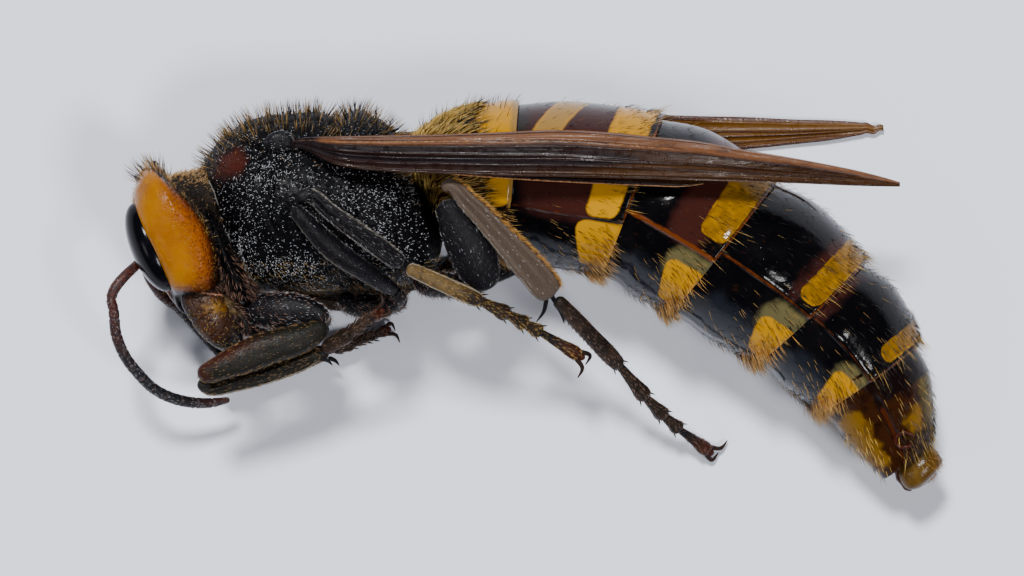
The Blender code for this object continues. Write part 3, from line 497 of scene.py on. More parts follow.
def make_body_materials():
    look = Look("orange_cuticle", (146, 92, 0), 0.3, 0.1)
    look.mottle(1.8, (130, 76, 0), 0.35, 0.65)
    look.mottle(0.45, (158, 105, 0), 0.5, 0.8, amount=0.6)
    # Pale is a pale line along the rim by the jaw, and a painted highlight along the eye's rear border.
    look.mark(
        browning=((122, 62, 3), 0.5, 0.45, 0.4), reddening=((78, 28, 3), 0.25, 0.3, 0.25),
        dark=((13, 8, 6), 0.05, 0.05, 0.25), pale=((150, 118, 92), 0.03, 0.03, 0.2),
    )
    pits = look.ramp(look.cells(0.15), 0.12, 0.5)
    near_rear = look.ramp(look.field("browning"), -0.3, 0.7, 0.04, 0.65)
    look.relief(look.math("MULTIPLY", pits, near_rear), 0.08)
    look.grain(0.5, 0.03)
    # Painted shade: the pits towards the rear of the head are coloured a darker brown.
    look.layer(look.math("MULTIPLY", look.math("SUBTRACT", 1.0, pits), near_rear), (98, 46, 8))
    look.grain(0.07, 0.01)
    look.wear(0.2, 0.38)

    look = Look("eye", (6, 6, 10), 0.14, 0.1)
    look.mottle(0.9, (18, 14, 24), 0.45, 0.75)
    look.relief(look.cells(0.035), 0.001)

    look = Look("black_cuticle", (4, 4, 6), 0.4, 0.05)
    look.mottle(1.1, (8, 8, 10), 0.45, 0.75)
    look.mark(reddening=((56, 20, 11), 0.45, 0.4, 0.6), pale=((150, 148, 140), 0.015, 0.02, 0.2))
    look.pits(0.17, 0.08, 0.45, 0.025)
    look.grain(0.12, 0.02)
    look.wear(0.28, 0.55)

    look = Look("gaster_cuticle", (4, 4, 6), 0.12, 0.15)
    look.mottle(1.5, (9, 8, 10), 0.4, 0.7)
    look.mark(
        blue=((26, 29, 36), 0.5, 0.6, 0.7, 0.9), grey=((36, 32, 29), 0.5, 0.5, 0.6),
        brown=((50, 23, 19), 0.35, 0.35, 0.6), olive=((84, 78, 50), 0.24, 0.25, 0.4),
        amber=((96, 46, 12), 0.06, 0.08, 0.4), yellow=((174, 123, 2), 0.07, 0.08, 0.45),
        honey=((80, 53, 2), 0.5, 0.5, 0.5, 0.85), tan=((140, 106, 48), 0.12, 0.14, 0.5),
    )
    look.mottle(0.28, (120, 60, 4), 0.6, 0.85, amount=0.1)
    look.grain(0.35, 0.012)
    look.pits(0.3, 0.02, 0.16, 0.006)
    look.wear(0.06, 0.16, 0.6)

    look = Look("tail_cuticle", (42, 20, 6), 0.2, 0.08)
    look.mottle(1.0, (26, 10, 5), 0.5, 0.62)
    look.mark(
        yellow=((106, 74, 4), 0.25, 0.6, 0.55), olive=((72, 58, 8), 0.3, 0.5, 0.5),
        dark=((16, 8, 7), 0.14, 0.25, 0.35), amber=((60, 26, 9), 0.06, 0.08, 0.35),
    )
    look.grain(0.3, 0.03)
    look.wear(0.12, 0.3)

    look = Look("sting_cuticle", (70, 49, 16), 0.2, 0.18)
    look.mottle(0.6, (90, 66, 26), 0.4, 0.7)
    look.mark(dark=((54, 20, 8), 0.1, 0.1, 0.2))
    look.grain(0.15, 0.02)

    look = Look("neck_skin", (16, 11, 8), 0.7, 0.2)
    look.mottle(0.3, (34, 23, 15), 0.4, 0.7)
    look.grain(0.12, 0.05)


def make_limb_materials():
    look = Look("jaw_cuticle", (44, 22, 8), 0.3, 0.3)
    look.mottle(0.5, (58, 30, 7), 0.4, 0.7)
    look.mark(
        yellow=((112, 76, 0), 0.3, 0.35, 0.25), dark=((12, 7, 6), 0.35, 0.2, 0.3),
        pale=((170, 120, 92), 0.03, 0.03, 0.15),
    )
    knobs = look.ramp(look.cells(0.19), 0.1, 0.5)
    look.relief(knobs, 0.05)
    # Painted shade: the hollows between the knobs are coloured darker.
    look.layer(look.math("MULTIPLY", look.math("SUBTRACT", 1.0, knobs), 0.6), (34, 12, 5))
    look.wear(0.32, 0.55, 0.2)

    look = Look("antenna_cuticle", (13, 12, 16), 0.45, 0.25)
    look.mark(warm=((62, 24, 15), 0.7, 0.3, 0.5), ring=((96, 66, 50), 0.015, 0.02, 0.1))
    look.mottle(0.2, (26, 22, 26), 0.4, 0.7)
    look.grain(0.05, 0.008)

    look = Look("leg_cuticle", (27, 20, 15), 0.4, 0.12)
    look.mottle(0.8, (45, 33, 24), 0.4, 0.7)
    look.mark(
        grey=((72, 60, 51), 0.3, 0.4, 0.5), green=((23, 22, 17), 0.3, 0.35, 0.5),
        warm=((92, 74, 46), 0.3, 0.4, 0.3), dark=((12, 10, 14), 0.3, 0.25, 0.4),
        reddening=((52, 21, 11), 0.25, 0.2, 0.3), pale=((136, 127, 112), 0.025, 0.05, 0.15),
    )
    look.grain(0.1, 0.025)
    look.pits(0.14, 0.1, 0.4, 0.012)
    look.wear(0.3, 0.55, 0.3)

    look = Look("wing_membrane", (36, 17, 9), 0.3, 0.22, 0.96)
    look.mark(
        warm=((100, 64, 40), 0.14, 0.1, 0.4), amber=((54, 31, 10), 0.2, 0.15, 0.5),
        purple=((20, 12, 15), 0.16, 0.1, 0.5),
    )
    look.mottle(0.35, (36, 14, 8), 0.5, 0.75, (0.06, 1, 1), 0.7)
    # Pale is a painted highlight along a vein of the forewing's upper stripe, and a pale line along the
    # hindwing's edge.
    look.mark(vein=((30, 12, 6), 0.03, 0.02, 0.3), pale=((176, 126, 84), 0.012, 0.02, 0.15))
    look.grain(0.16, 0.03, (0.05, 1, 1))
    look.grain(0.5, 0.06, (0.12, 1, 1))
    look.grain(0.12, 0.012)
    look.wear(0.22, 0.45, 0.3)

    look = Look("clear_wing", (94, 60, 14), 0.3, 0.22, 0.9)
    look.mottle(0.5, (74, 42, 11), 0.4, 0.7, (0.06, 1, 1))
    look.mark(purple=((64, 30, 12), 0.15, 0.1, 0.5), vein=((44, 18, 6), 0.03, 0.02, 0.3))
    look.grain(0.2, 0.04, (0.06, 1, 1))
    look.grain(0.12, 0.015)
    look.wear(0.2, 0.45, 0.3)


def make_hair_materials():
    """Hair is paler to its tip, and the field named tint picks out the dark ones."""
    for name, (root, tip, dark) in HAIRS.items():
        look = Look(name, root, 0.45)
        look.layer(look.field("reach"), tip)
        look.layer(look.ramp(look.field("tint"), 0.4, 0.6), dark)
        look.mottle(0.3, root, 0.5, 0.8, amount=0.4)


# Meshes

def new_piece(name, points, faces, look, replaced):
    """A mesh piece from arrays in millimetres. Each array of faces holds either triangles or quads."""
    mesh = bpy.data.meshes.new(name)
    corners = np.concatenate([f.ravel() for f in faces]).astype(np.int32)
    counts = np.concatenate([np.full(len(f), f.shape[1]) for f in faces]).astype(np.int32)
    starts = np.concatenate([[0], np.cumsum(counts)[:-1]]).astype(np.int32)
    mesh.vertices.add(len(points))
    mesh.vertices.foreach_set("co", (np.asarray(points) * MM).astype(np.float32).ravel())
    mesh.loops.add(len(corners))
    mesh.loops.foreach_set("vertex_index", corners)
    mesh.polygons.add(len(counts))
    mesh.polygons.foreach_set("loop_start", starts)
    mesh.polygons.foreach_set("loop_total", counts)
    mesh.update(calc_edges=True)
    mesh.validate()
    mesh.shade_smooth()
    mesh.materials.append(LOOKS[look].material)
    piece = bpy.data.objects.new(name, mesh)
    bpy.context.scene.collection.objects.link(piece)
    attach(piece, "root")
    if replaced:
        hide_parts(*replaced)
    return piece


def set_field(piece, name, values):
    made = piece.data.attributes.new(name, "FLOAT", "POINT")
    made.data.foreach_set("value", np.asarray(values, np.float32).ravel())


# Each coat's material, then the hairs' length, radius, rise, bend, scatter and share of dark ones. Rise is 1
# for hair that stands upright and 0 for hair that lies flat. Bend is how far the tip leans over.
COATS = {
    "gaster_down": ("golden_hair", 0.75, 0.017, 0.18, 0.4, 0.09, 0.12),
    "gaster_back": ("dark_hair", 0.85, 0.014, 0.7, 0.3, 0.1, 0.2),
    "gaster_plates": ("dark_hair", 0.5, 0.01, 0.35, 0.2, 0.08, 0.15),
    "gaster_edges": ("golden_hair", 0.95, 0.012, 0.36, 0.2, 0.08, 0.35),
    "gaster_fringe": ("orange_hair", 0.85, 0.011, 0.55, 0.15, 0.09, 0.25),
    "gaster_belly": ("dark_hair", 0.5, 0.012, 0.4, 0.3, 0.1, 0.35),
    "tail": ("golden_hair", 0.45, 0.012, 0.35, 0.2, 0.1, 0.4),
    "tail_lobe": ("orange_hair", 0.3, 0.009, 0.4, 0.2, 0.15, 0.3),
    "thorax_down": ("silver_down", 0.085, 0.0135, 0.35, 0.2, 0.5, 0.25),
    "thorax_back": ("dark_hair", 0.8, 0.0155, 0.82, 0.15, 0.12, 0.4),
    "thorax_back_down": ("dark_hair", 0.26, 0.01, 0.6, 0.2, 0.25, 0.3),
    "thorax_belly": ("dark_hair", 0.4, 0.012, 0.4, 0.3, 0.25, 0.3),
    "neck": ("tan_wool", 0.3, 0.012, 0.5, 0.4, 0.3, 0.0),
    "propleura": ("rosy_hair", 0.25, 0.009, 0.35, 0.25, 0.16, 0.97),
    "crown": ("dark_hair", 0.98, 0.019, 0.25, 0.1, 0.12, 0.35),
    "crown_down": ("tan_wool", 0.4, 0.01, 0.6, 0.2, 0.2, 0.2),
    "nape_rim": ("dark_hair", 0.5, 0.011, 0.3, 0.3, 0.12, 0.25),
    "nape": ("tan_wool", 0.4, 0.012, 0.6, 0.3, 0.25, 0.1),
    "face": ("golden_hair", 0.2, 0.009, 0.5, 0.2, 0.2, 0.3),
    "cheek": ("golden_hair", 0.1, 0.006, 0.35, 0.2, 0.2, 0.3),
    "chin": ("rosy_hair", 0.4, 0.01, 0.5, 0.3, 0.2, 0.6),
    "mandible": ("golden_hair", 0.11, 0.009, 0.35, 0.2, 0.2, 0.4),
    "mouthparts": ("rosy_hair", 0.3, 0.01, 0.4, 0.3, 0.2, 0.5),
    "feeler": ("silver_down", 0.07, 0.006, 0.45, 0.2, 0.2, 0.6),
    "tegula": ("silver_down", 0.1, 0.007, 0.4, 0.2, 0.2, 0.5),
    "tarsus": ("rosy_hair", 0.15, 0.008, 0.25, 0.2, 0.15, 0.5),
    "golden_tarsus": ("golden_hair", 0.15, 0.008, 0.25, 0.2, 0.15, 0.5),
    "coxa": ("rosy_hair", 0.3, 0.01, 0.45, 0.3, 0.25, 0.6),
    "coxa_down": ("silver_down", 0.14, 0.0065, 0.25, 0.2, 0.15, 0.55),
    "leg_down": ("silver_down", 0.14, 0.0065, 0.25, 0.2, 0.15, 0.85),
    "front_leg_down": ("tan_wool", 0.14, 0.0065, 0.25, 0.2, 0.15, 0.55),
    "tibia_fringe": ("orange_hair", 0.3, 0.011, 0.5, 0.3, 0.15, 0.2),
}
# A hair has six corners and a tip: its faces, how far along the hair each point is, and where it lies on
# the hair's bit of the unwrap.
HAIR_FACES = np.array([
    (2, 1, 0), (0, 1, 4), (0, 4, 3), (1, 2, 5), (1, 5, 4),
    (2, 0, 3), (2, 3, 5), (3, 4, 6), (4, 5, 6), (5, 3, 6),
])
HAIR_REACH = [0, 0, 0, 0.5, 0.5, 0.5, 1.0]
HAIR_POINTS = len(HAIR_REACH)
HAIR_UNWRAP = 0.003 * np.array([
    (0, 0), (1, 0), (0.5, 0.3), (0, 0.6), (1, 0.6), (0.5, 0.8), (0.5, 1),
]) - 0.0015


class Skin:
    """A closed grid of points. Rows run along the piece and columns run round it."""

    def __init__(self, points):
        self.points = np.maximum(np.asarray(points, float), [-1e9, -1e9, FLOOR_GAP])
        self.rows, self.columns = self.points.shape[:2]
        self.fields = {}

    def tangents(self):
        along = unit(np.gradient(self.points, axis=0))
        around = unit(np.roll(self.points, -1, axis=1) - np.roll(self.points, 1, axis=1))
        return along, around

    def normals(self):
        along, around = self.tangents()
        facing = unit(np.cross(around, along))
        middle = self.points.mean(axis=1, keepdims=True)
        inward = ((self.points - middle) * facing).sum(axis=(1, 2)).sum() < 0
        return -facing if inward else facing

    def displace(self, amounts):
        self.points = self.points + self.normals() * amounts[..., None]
        self.points[..., 2] = np.maximum(self.points[..., 2], FLOOR_GAP)

    def piece(self, name, look, *replaced, slot=None):
        """Makes the mesh, with a fan of triangles on each end."""
        self.slot = slot or look
        rows, columns = self.rows, self.columns
        ends = np.stack([self.points[0].mean(axis=0), self.points[-1].mean(axis=0)])
        points = np.concatenate([self.points.reshape(-1, 3), ends])
        index = np.arange(rows * columns).reshape(rows, columns)
        turned = np.roll(index, -1, axis=1)
        quads = np.stack([index[:-1], turned[:-1], turned[1:], index[1:]], axis=-1).reshape(-1, 4)
        first = np.stack([np.full(columns, rows * columns), turned[0], index[0]], axis=-1)
        last = np.stack([np.full(columns, rows * columns + 1), index[-1], turned[-1]], axis=-1)
        if self.turns_inward(quads):
            quads, first, last = quads[:, ::-1], first[:, ::-1], last[:, ::-1]
        piece = new_piece(name, points, [quads, first, last], look, replaced)
        for key in LOOKS[look].markings:
            values = np.broadcast_to(self.fields.get(key, UNMARKED), (rows, columns))
            set_field(piece, key, np.append(values.ravel(), [values[0].mean(), values[-1].mean()]))

    def turns_inward(self, quads):
        corners = self.points.reshape(-1, 3)[quads]
        facing = np.cross(corners[:, 1] - corners[:, 0], corners[:, 3] - corners[:, 0])
        return (corners[:, 0] * facing).sum() < 0

    def roots(self, chance, count, where):
        """Random places on the skin, the normals and directions there, and their places on the unwrap."""
        along = self.tangents()[0]
        beside = np.roll(self.points, -1, axis=1) - self.points
        area = np.linalg.norm(np.cross(beside[:-1], self.points[1:] - self.points[:-1]), axis=-1)
        weight = (area * np.broadcast_to(where, (self.rows, self.columns))[:-1]).ravel()
        face = chance.choice(len(weight), size=count, p=weight / weight.sum())
        row, column = np.divmod(face, self.columns)
        up, over = chance.random(count), chance.random(count)
        next_column = (column + 1) % self.columns

        def mixed(grid):
            near = grid[row, column] * (1 - over)[:, None] + grid[row, next_column] * over[:, None]
            far = grid[row + 1, column] * (1 - over)[:, None] + grid[row + 1, next_column] * over[:, None]
            return near * (1 - up)[:, None] + far * up[:, None]

        unwrap = np.stack([(column + over) / self.columns, (row + up) / self.rows], axis=-1)
        return mixed(self.points), unit(mixed(self.normals())), unit(mixed(along)), unwrap

    def coat(self, name, kind, count, seed, where=1.0, lie=None, longer=None, darker=None, slot=None):
        """Hairs as thin three-sided spikes joined in one mesh. Where is how densely they stand.

        Hairs lean along the skin, or towards the lie. The lie, what makes them longer and what makes more of
        them dark may be functions of the roots' places.
        """
        look, length, radius, rise, bend, scatter, dark = COATS[kind]
        chance = np.random.default_rng(seed)
        at, normals, along, unwrap = self.roots(chance, count, where)
        if longer:
            length = length + longer(at)
        if darker:
            dark = dark + darker(at)
        if lie is None:
            lie = along
        elif callable(lie):
            lie = lie(at, along)
        length = length * chance.uniform(0.65, 1.15, count)
        radius = radius * chance.uniform(0.8, 1.15, count)
        lie = unit(np.asarray(lie) + chance.normal(0, scatter, (count, 3)))
        out = unit(normals * rise + lie * (1 - rise) + chance.normal(0, scatter * 0.6, (count, 3)))
        step = out * length[:, None]
        room = np.where(step > 0, HAIR_LIMITS[1], HAIR_LIMITS[0]) - at
        length = length * np.clip((room / np.where(step == 0, 1e-9, step)).min(axis=1), 0.2, 1.0)
        side = unit(np.cross(out, lie + 0.01))
        other = np.cross(out, side)
        middle = at + out * (length * 0.5)[:, None]
        tip = middle + unit(out + lie * bend) * (length * 0.5)[:, None]
        root = at - out * (length * 0.06)[:, None]
        corners = []
        for centre, share in ((root, 1.0), (middle, 0.72)):
            for turn in (0, 2 * math.pi / 3, 4 * math.pi / 3):
                spoke = side * math.cos(turn) + other * math.sin(turn)
                corners.append(centre + spoke * (radius * share)[:, None])
        points = np.stack([*corners, tip], axis=1)
        points[..., 2] = np.maximum(points[..., 2], FLOOR_GAP)
        faces = ((np.arange(count) * HAIR_POINTS)[:, None, None] + HAIR_FACES).reshape(-1, 3)
        piece = new_piece(name, points.reshape(-1, 3), [faces], look, ())
        set_field(piece, "reach", np.tile(HAIR_REACH, count))
        is_dark = chance.random(count) < np.broadcast_to(dark, count)
        set_field(piece, "tint", np.repeat(is_dark, HAIR_POINTS))
        spread_out = np.clip(unwrap[:, None, :] + HAIR_UNWRAP, 0, 1).reshape(-1, 2)
        layer = piece.data.uv_layers.new(name="OFBake")
        layer.data.foreach_set("uv", spread_out[faces.ravel()].astype(np.float32).ravel())


def round_ends(places, length, first, last):
    """How much a limb's rings shrink towards its ends, so that both ends are domes."""
    near = np.clip(places * length / first, 0, 1)
    far = np.clip((1 - places) * length / last, 0, 1)
    return np.sqrt(np.maximum(1 - (1 - near) ** 2, 1e-4)) * np.sqrt(np.maximum(1 - (1 - far) ** 2, 1e-4))


def limb_skin(stations, rows, columns, height=0.0, side=1):
    """A limb with oval sections and domed ends, with its places along it and its angles round it."""
    stations = np.array([(s[0], s[1], side * s[2] + height, s[3], s[-1]) for s in stations], float)
    # The rings stand closer together towards both ends.
    places = 0.6 * np.linspace(0, 1, rows) + 0.4 * (0.5 - 0.5 * np.cos(np.linspace(0, math.pi, rows)))
    read = curve_through(stations, places)
    centre, width, thickness = read[:, :3], read[:, 3], read[:, 4]
    length = np.linalg.norm(np.diff(centre, axis=0), axis=1).sum()
    shrink = round_ends(places, length, stations[0, 4], stations[-1, 4])
    along = unit(np.gradient(centre, axis=0))
    across = unit(np.cross(along, UP))
    top = np.cross(across, along)
    angles = circle(columns)
    wide = (width * shrink)[:, None, None] * np.cos(angles)[None, :, None] * across[:, None, :]
    deep = (thickness * shrink)[:, None, None] * np.sin(angles)[None, :, None] * top[:, None, :]
    skin = Skin(centre[:, None, :] + wide + deep)
    skin.places, skin.angles = np.meshgrid(places, angles, indexing="ij")
    skin.length = length
    return skin


def degrees_from_back(angles):
    return np.degrees(np.abs((angles + math.pi) % (2 * math.pi) - math.pi))


def section_points(sections, angles, reach=1.0):
    """Rings of the body. Angle 0 is the middle of the back, and a positive angle turns to the left side."""
    back = np.stack([sections[:, 0], sections[:, 1], sections[:, 5]], axis=-1)
    belly = np.stack([sections[:, 2], sections[:, 3], sections[:, 5]], axis=-1)
    middle, rise = (back + belly) / 2, (back - belly) / 2
    reach = np.broadcast_to(reach, (len(sections), len(angles)))[..., None]
    across = sections[:, 4][:, None, None] * np.sin(angles)[None, :, None] * UP
    return middle[:, None, :] + (rise[:, None, :] * np.cos(angles)[None, :, None] + across) * reach


def thorax_skin(stations, rows, columns):
    sections = [(*station, THORAX_MID) for station in stations]
    angles = circle(columns)
    skin = Skin(section_points(curve_through(sections, np.linspace(0, 1, rows), 4), angles))
    skin.places, skin.turn = np.meshgrid(np.linspace(0, 1, rows), degrees_from_back(angles), indexing="ij")
    return skin


# Gaster

GASTER_COLUMNS = 240
GASTER_RADIUS = 4.1
# The last of the six segments, and how many degrees from the back its seam is.
TAIL = 6
TAIL_RADIUS = 2.5
TAIL_SEAM = 97
# Patches of the segments are shares of the length from and to, then degrees from the back from and to.
YELLOW_BANDS = {
    1: [(0.77, 0.975, -200, 110)], 2: [(0.28, 0.49, -200, 74), (0.69, 0.965, -200, 108)],
    3: [(0.69, 0.965, -200, 91)], 4: [(0.76, 0.965, -200, 88)], 5: [(0.76, 0.94, -200, 72)],
}
BELLY_PATCHES = {
    1: (0.7, 0.97, 122, 150), 2: (0.6, 1.1, 112, 154), 3: (0.59, 1.1, 115, 152), 4: (0.66, 1.1, 113, 152),
    5: (0.66, 1.1, 107, 152),
}
# A brown patch also has the rounding of its corners and how far it is drawn in.
BROWN_PATCHES = {
    1: (0.3, 0.8, 70, 125, 0.6, 0.0), 2: (0.08, 0.75, 20, 113, 0.6, 0.0), 3: (0.42, 0.8, -50, 104, 0.5, 0.0),
    4: (0.62, 0.85, 20, 97, 0.5, 0.35), 5: (-0.1, 0.16, 30, 97, 0.3, 0.3),
}
SEAM_WIDTHS = {1: 0.0, 2: 0.01, 3: 0.11, 4: 0.04, 5: 0.0}


def patch_field(skin, patch, corner, shift=0.0, radius=GASTER_RADIUS):
    """Distance in millimetres inside a patch of the shell, whose place along it may be shifted."""
    low, high, start, end = patch
    share = skin.share + shift
    along = np.minimum(share - low, high - share) * skin.length
    around = np.minimum(skin.turn - start, end - skin.turn) * PER_DEGREE * radius
    inside = np.minimum(along, around)
    rounded = corner - np.hypot(np.maximum(corner - along, 0), np.maximum(corner - around, 0))
    return np.where(inside > corner, inside, rounded)


def gaster_markings(number, skin):
    share, turn, edge = skin.share, skin.turn, PLATE_ENDS[number - 1]
    slant = ease(0, 70, turn) if number == 2 else 0.0
    bands = [
        patch_field(skin, band, 0.4, (0.2 if band[0] < 0.5 else 0.04) * slant)
        for band in YELLOW_BANDS[number]
    ]
    low, high, start, end = BELLY_PATCHES[number]
    narrowed = np.where(share < 0.85, -0.12 * ease(start, end, turn), 0.0)
    yellow = np.maximum.reduce([*bands, patch_field(skin, BELLY_PATCHES[number], 0.5, narrowed)])
    *brown, corner, inset = BROWN_PATCHES[number]
    seam = SEAM_WIDTHS[number] - np.abs(turn - edge + 1) * PER_DEGREE * GASTER_RADIUS
    rim = np.where(turn < edge, 0.03 - np.abs(share - 0.99) * skin.length, -1.0)
    fields = {
        "yellow": yellow, "amber": np.maximum(seam, rim), "brown": patch_field(skin, brown, corner) - inset,
        "blue": patch_field(skin, (0.15, 1.1, edge + 22, 200), 0.5) - 0.2,
    }
    if number == 1:
        fields["tan"] = patch_field(skin, (0.965, 1.2, -60, 112), 0.1)
    elif number == 2:
        fields["tan"] = patch_field(skin, (0.27, 0.5, -60, 70), 0.3, 0.2 * slant) - 0.1
        fields["grey"] = patch_field(skin, (-0.1, 0.7, -60, 62), 0.5)
    else:
        fields["olive"] = patch_field(skin, (low - 0.03, 1.1, edge + 2, start + 14), 0.75)
        fields["honey"] = np.where((turn < edge) & (yellow > 0), 0.25, -2.0)
    return fields


def tail_markings(skin):
    def patch(places, corner):
        return patch_field(skin, places, corner, radius=TAIL_RADIUS)

    seam = np.abs(skin.turn - TAIL_SEAM) * PER_DEGREE * TAIL_RADIUS
    return {
        "yellow": np.maximum(
            patch((0.5, 0.8, 48, 78), 0.3) - 0.1, patch((0.12, 0.9, 118, 168), 0.5) - 0.15,
        ),
        "olive": patch((0.25, 0.85, -60, 46), 0.4),
        "dark": np.maximum(0.16 - seam, patch((-0.2, 0.3, -60, 92), 0.3)),
        "amber": 0.09 - seam - 2 * np.maximum(0.35 - skin.share, 0),
    }


def segment_skin(number):
    """One ring of the gaster. Its front lies inside the ring before it and its rear edge is a thin rim."""
    angles = circle(GASTER_COLUMNS)
    turn = degrees_from_back(angles)
    if number == 1:
        shares = np.linspace(0, 1, 90)
        sections = curve_through(GASTER_FRONT + GASTER_EDGES[:1], shares, 4)
        scales = 1 - 0.02 * ease(0.96, 1.0, shares)
        length = np.linalg.norm(sections[-1, :3:2] - sections[0, :3:2])
    else:
        front, rear = np.array(GASTER_EDGES[number - 2:number])
        shares = np.concatenate([
            np.linspace(-0.14, 0.05, 12)[:-1], np.linspace(0.05, 0.94, 66)[:-1], np.linspace(0.94, 1, 12),
        ])
        sections = front + (rear - front) * shares[:, None]
        out = unit(sections[:, :2] - sections[:, 2:4])
        rise = (4 * shares * (1 - shares))[:, None]
        back_swell, belly_swell = GASTER_SWELLS[number - 2]
        sections[:, :2] += out * rise * back_swell
        sections[:, 2:4] -= out * rise * belly_swell
        scales = 0.925 + 0.075 * ease(-0.12, 0.45, shares)
        scales = scales + 0.006 * ease(0.9, 0.97, shares) - 0.016 * ease(0.97, 1.0, shares)
        length = np.linalg.norm((rear[:4] - front[:4]).reshape(2, 2).mean(axis=0))
    edge = PLATE_ENDS[number - 1]
    under = ease(edge - 0.6, edge + 1.6, turn)
    lip = bell(turn + 3, edge, 2.2)
    hem = ease(0.86, 0.97, shares)[:, None] * (1 - under)
    step = (0.04 * under - 0.008 * lip) * ease(0.02, 0.25, shares)[:, None]
    points = section_points(sections, angles, scales[:, None] * (1 - step + 0.006 * hem))
    centre = points[-1].mean(axis=0)
    inward = unit(points[-2].mean(axis=0) - centre) * 0.12
    rim = [centre + (points[-1] - centre) * size + inward * depth for size, depth in ((0.965, 0.6), (0.6, 2))]
    skin = Skin(np.concatenate([points, rim]))
    skin.share, skin.turn = np.meshgrid([*shares, 1.0, 1.0], turn, indexing="ij")
    skin.length = length
    return skin


def build_gaster():
    for number in range(1, TAIL + 1):
        skin = segment_skin(number)
        share, turn = skin.share, skin.turn
        if number < TAIL:
            skin.fields = gaster_markings(number, skin)
        else:
            skin.fields = tail_markings(skin)
            skin.displace(-0.12 * bell(turn, TAIL_SEAM, 7) * ease(0.1, 0.3, share))
        ripple = 0.02 * np.sin(share * 9 + np.radians(turn) * 3) * ease(0.1, 0.4, share)
        skin.displace(ripple * (turn < PLATE_ENDS[number - 1]))
        look = "gaster_cuticle" if number < TAIL else "tail_cuticle"
        skin.piece(f"gaster_shell_{number}", look, f"gaster_{number}", slot="gaster_cuticle")
        gaster_hairs(number, skin, share, turn, PLATE_ENDS[number - 1])


def gaster_hairs(number, skin, share, turn, edge):
    inside = (share > 0.02) & (share < 0.985)

    def dark_to_rear(at):
        return 0.7 * ease(-3.2, -1.7, at[:, 0])

    if number == 1:
        where = inside * window(share, 0.12, 0.2, 0.74, 0.8) * (turn < 110)
        skin.coat("down_gaster_1", "gaster_down", 3600, 101, where, darker=dark_to_rear)
        skin.coat("bristles_gaster_1", "gaster_back", 140, 102, inside * (turn < 60) * (share > 0.3))
    else:
        where = inside * (ease(0.55, 0.85, share) + 0.12) * (turn < edge - 3)
        skin.coat(f"bristles_gaster_{number}", "gaster_plates", 400 + 40 * number, 110 + number, where)
        where = (share > 0.86) * (share < 0.98) * (turn < edge - 2)
        skin.coat(f"edge_bristles_{number}", "gaster_edges", 64, 180 + number, where)
    if number < TAIL:
        where = ease(0.7, 0.92, share) * (turn > 112) * inside * (0.25 + ease(118, 150, turn))
        skin.coat(f"fringe_gaster_{number}", "gaster_fringe", 430, 130 + number, where)
        where = inside * (turn > edge + 4) * ease(0.2, 0.9, share)
        skin.coat(f"belly_hairs_{number}", "gaster_belly", 420, 150 + number, where)
    else:
        skin.coat("hairs_tail", "tail", 280, 170, (share > 0.3) * (share < 0.99) * (0.2 + (turn > 120)))


# Thorax

# Where the silver down is thick: x, y, half length and half height of a patch.
DOWN_PATCHES = [
    (-11.0, 5.4, 1.3, 0.9), (-12.3, 4.6, 0.7, 1.2), (-7.2, 4.3, 1.9, 0.7), (-10.2, 1.3, 1.8, 0.6),
    (-6.5, 2.2, 1.0, 1.0), (-12.4, 2.4, 0.5, 1.0), (-8.0, 6.2, 1.0, 0.4),
]
# A groove is its depth, its width and the line that it follows.
THORAX_GROOVES = [
    (0.1, 0.12, [
        (-13.4, 7.3), (-12.9, 6.9), (-12.0, 6.5), (-11.55, 6.3), (-12.1, 5.4), (-12.7, 4.2), (-12.95, 2.6),
        (-12.7, 1.0),
    ]),
    (0.07, 0.12, [(-10.9, 6.3), (-11.3, 5.0), (-11.5, 3.6), (-10.9, 2.4)]),
    (0.09, 0.13, [(-7.9, 6.9), (-7.6, 5.4), (-7.7, 3.4), (-7.2, 1.6), (-7.0, 0.3)]),
    (0.08, 0.12, [(-6.4, 7.6), (-6.25, 5.6), (-6.0, 3.4), (-5.8, 1.0)]),
    (0.06, 0.14, [(-9.9, 6.4), (-9.2, 5.6), (-8.4, 5.5), (-7.8, 5.9)]),
]
PRONOTUM_RIM = [(-14.2, 5.1), (-13.95, 4.6), (-13.75, 4.0)]


def build_thorax():
    skin = thorax_skin(THORAX, rows=250, columns=280)
    turn = skin.turn
    x, y = skin.points[..., 0], skin.points[..., 1]
    dent = np.zeros(turn.shape)
    for depth, width, line in THORAX_GROOVES:
        away = line_distance(skin.points, line)
        dent -= depth * bell(away, 0, width) * ease(12, 25, turn)
        dent += 0.4 * depth * bell(away, 2 * width, width) * ease(12, 25, turn)
    back = 1 - ease(45, 60, turn)
    scutum = window(x, -12.9, -12.5, -9.2, -8.8)
    dent -= (0.06 * bell(turn, 0, 1.6) + 0.05 * bell(turn, 26, 2.0)) * scutum
    dent += (0.1 * bell(x, -7.65, 0.35) - 0.12 * bell(x, -6.85, 0.12)) * back
    dent += 0.16 * bell(x, -10.2, 1.3) * bell(y, 3.2, 1.4) - 0.1 * bell(x, -9.4, 0.7) * bell(y, 6.3, 0.35)
    skin.displace(dent)
    shoulder = 0.7 - np.hypot((x + 13.1) / 1.15, (y - 5.85 - 0.25 * (x + 13.1)) / 0.8)
    shoulder = np.where(turn > 20, shoulder - 0.8 * np.clip(x + 12.6, 0, 1), -2)
    skin.fields = {"reddening": shoulder, "pale": 0.025 - line_distance(skin.points, PRONOTUM_RIM)}
    skin.piece(
        "thorax_shell", "black_cuticle", "pronotum", "mesothorax", "propodeum", slot="thorax_cuticle",
    )
    dense = 0.18
    for at_x, at_y, wide, high in DOWN_PATCHES:
        dense = dense + 0.8 * bell(x, at_x, wide) * bell(y, at_y, high)
    dense = dense * (1 - 0.85 * ease(-0.1, 0.3, shoulder))
    thorax_hairs(skin, x, turn, dense)
    build_neck()


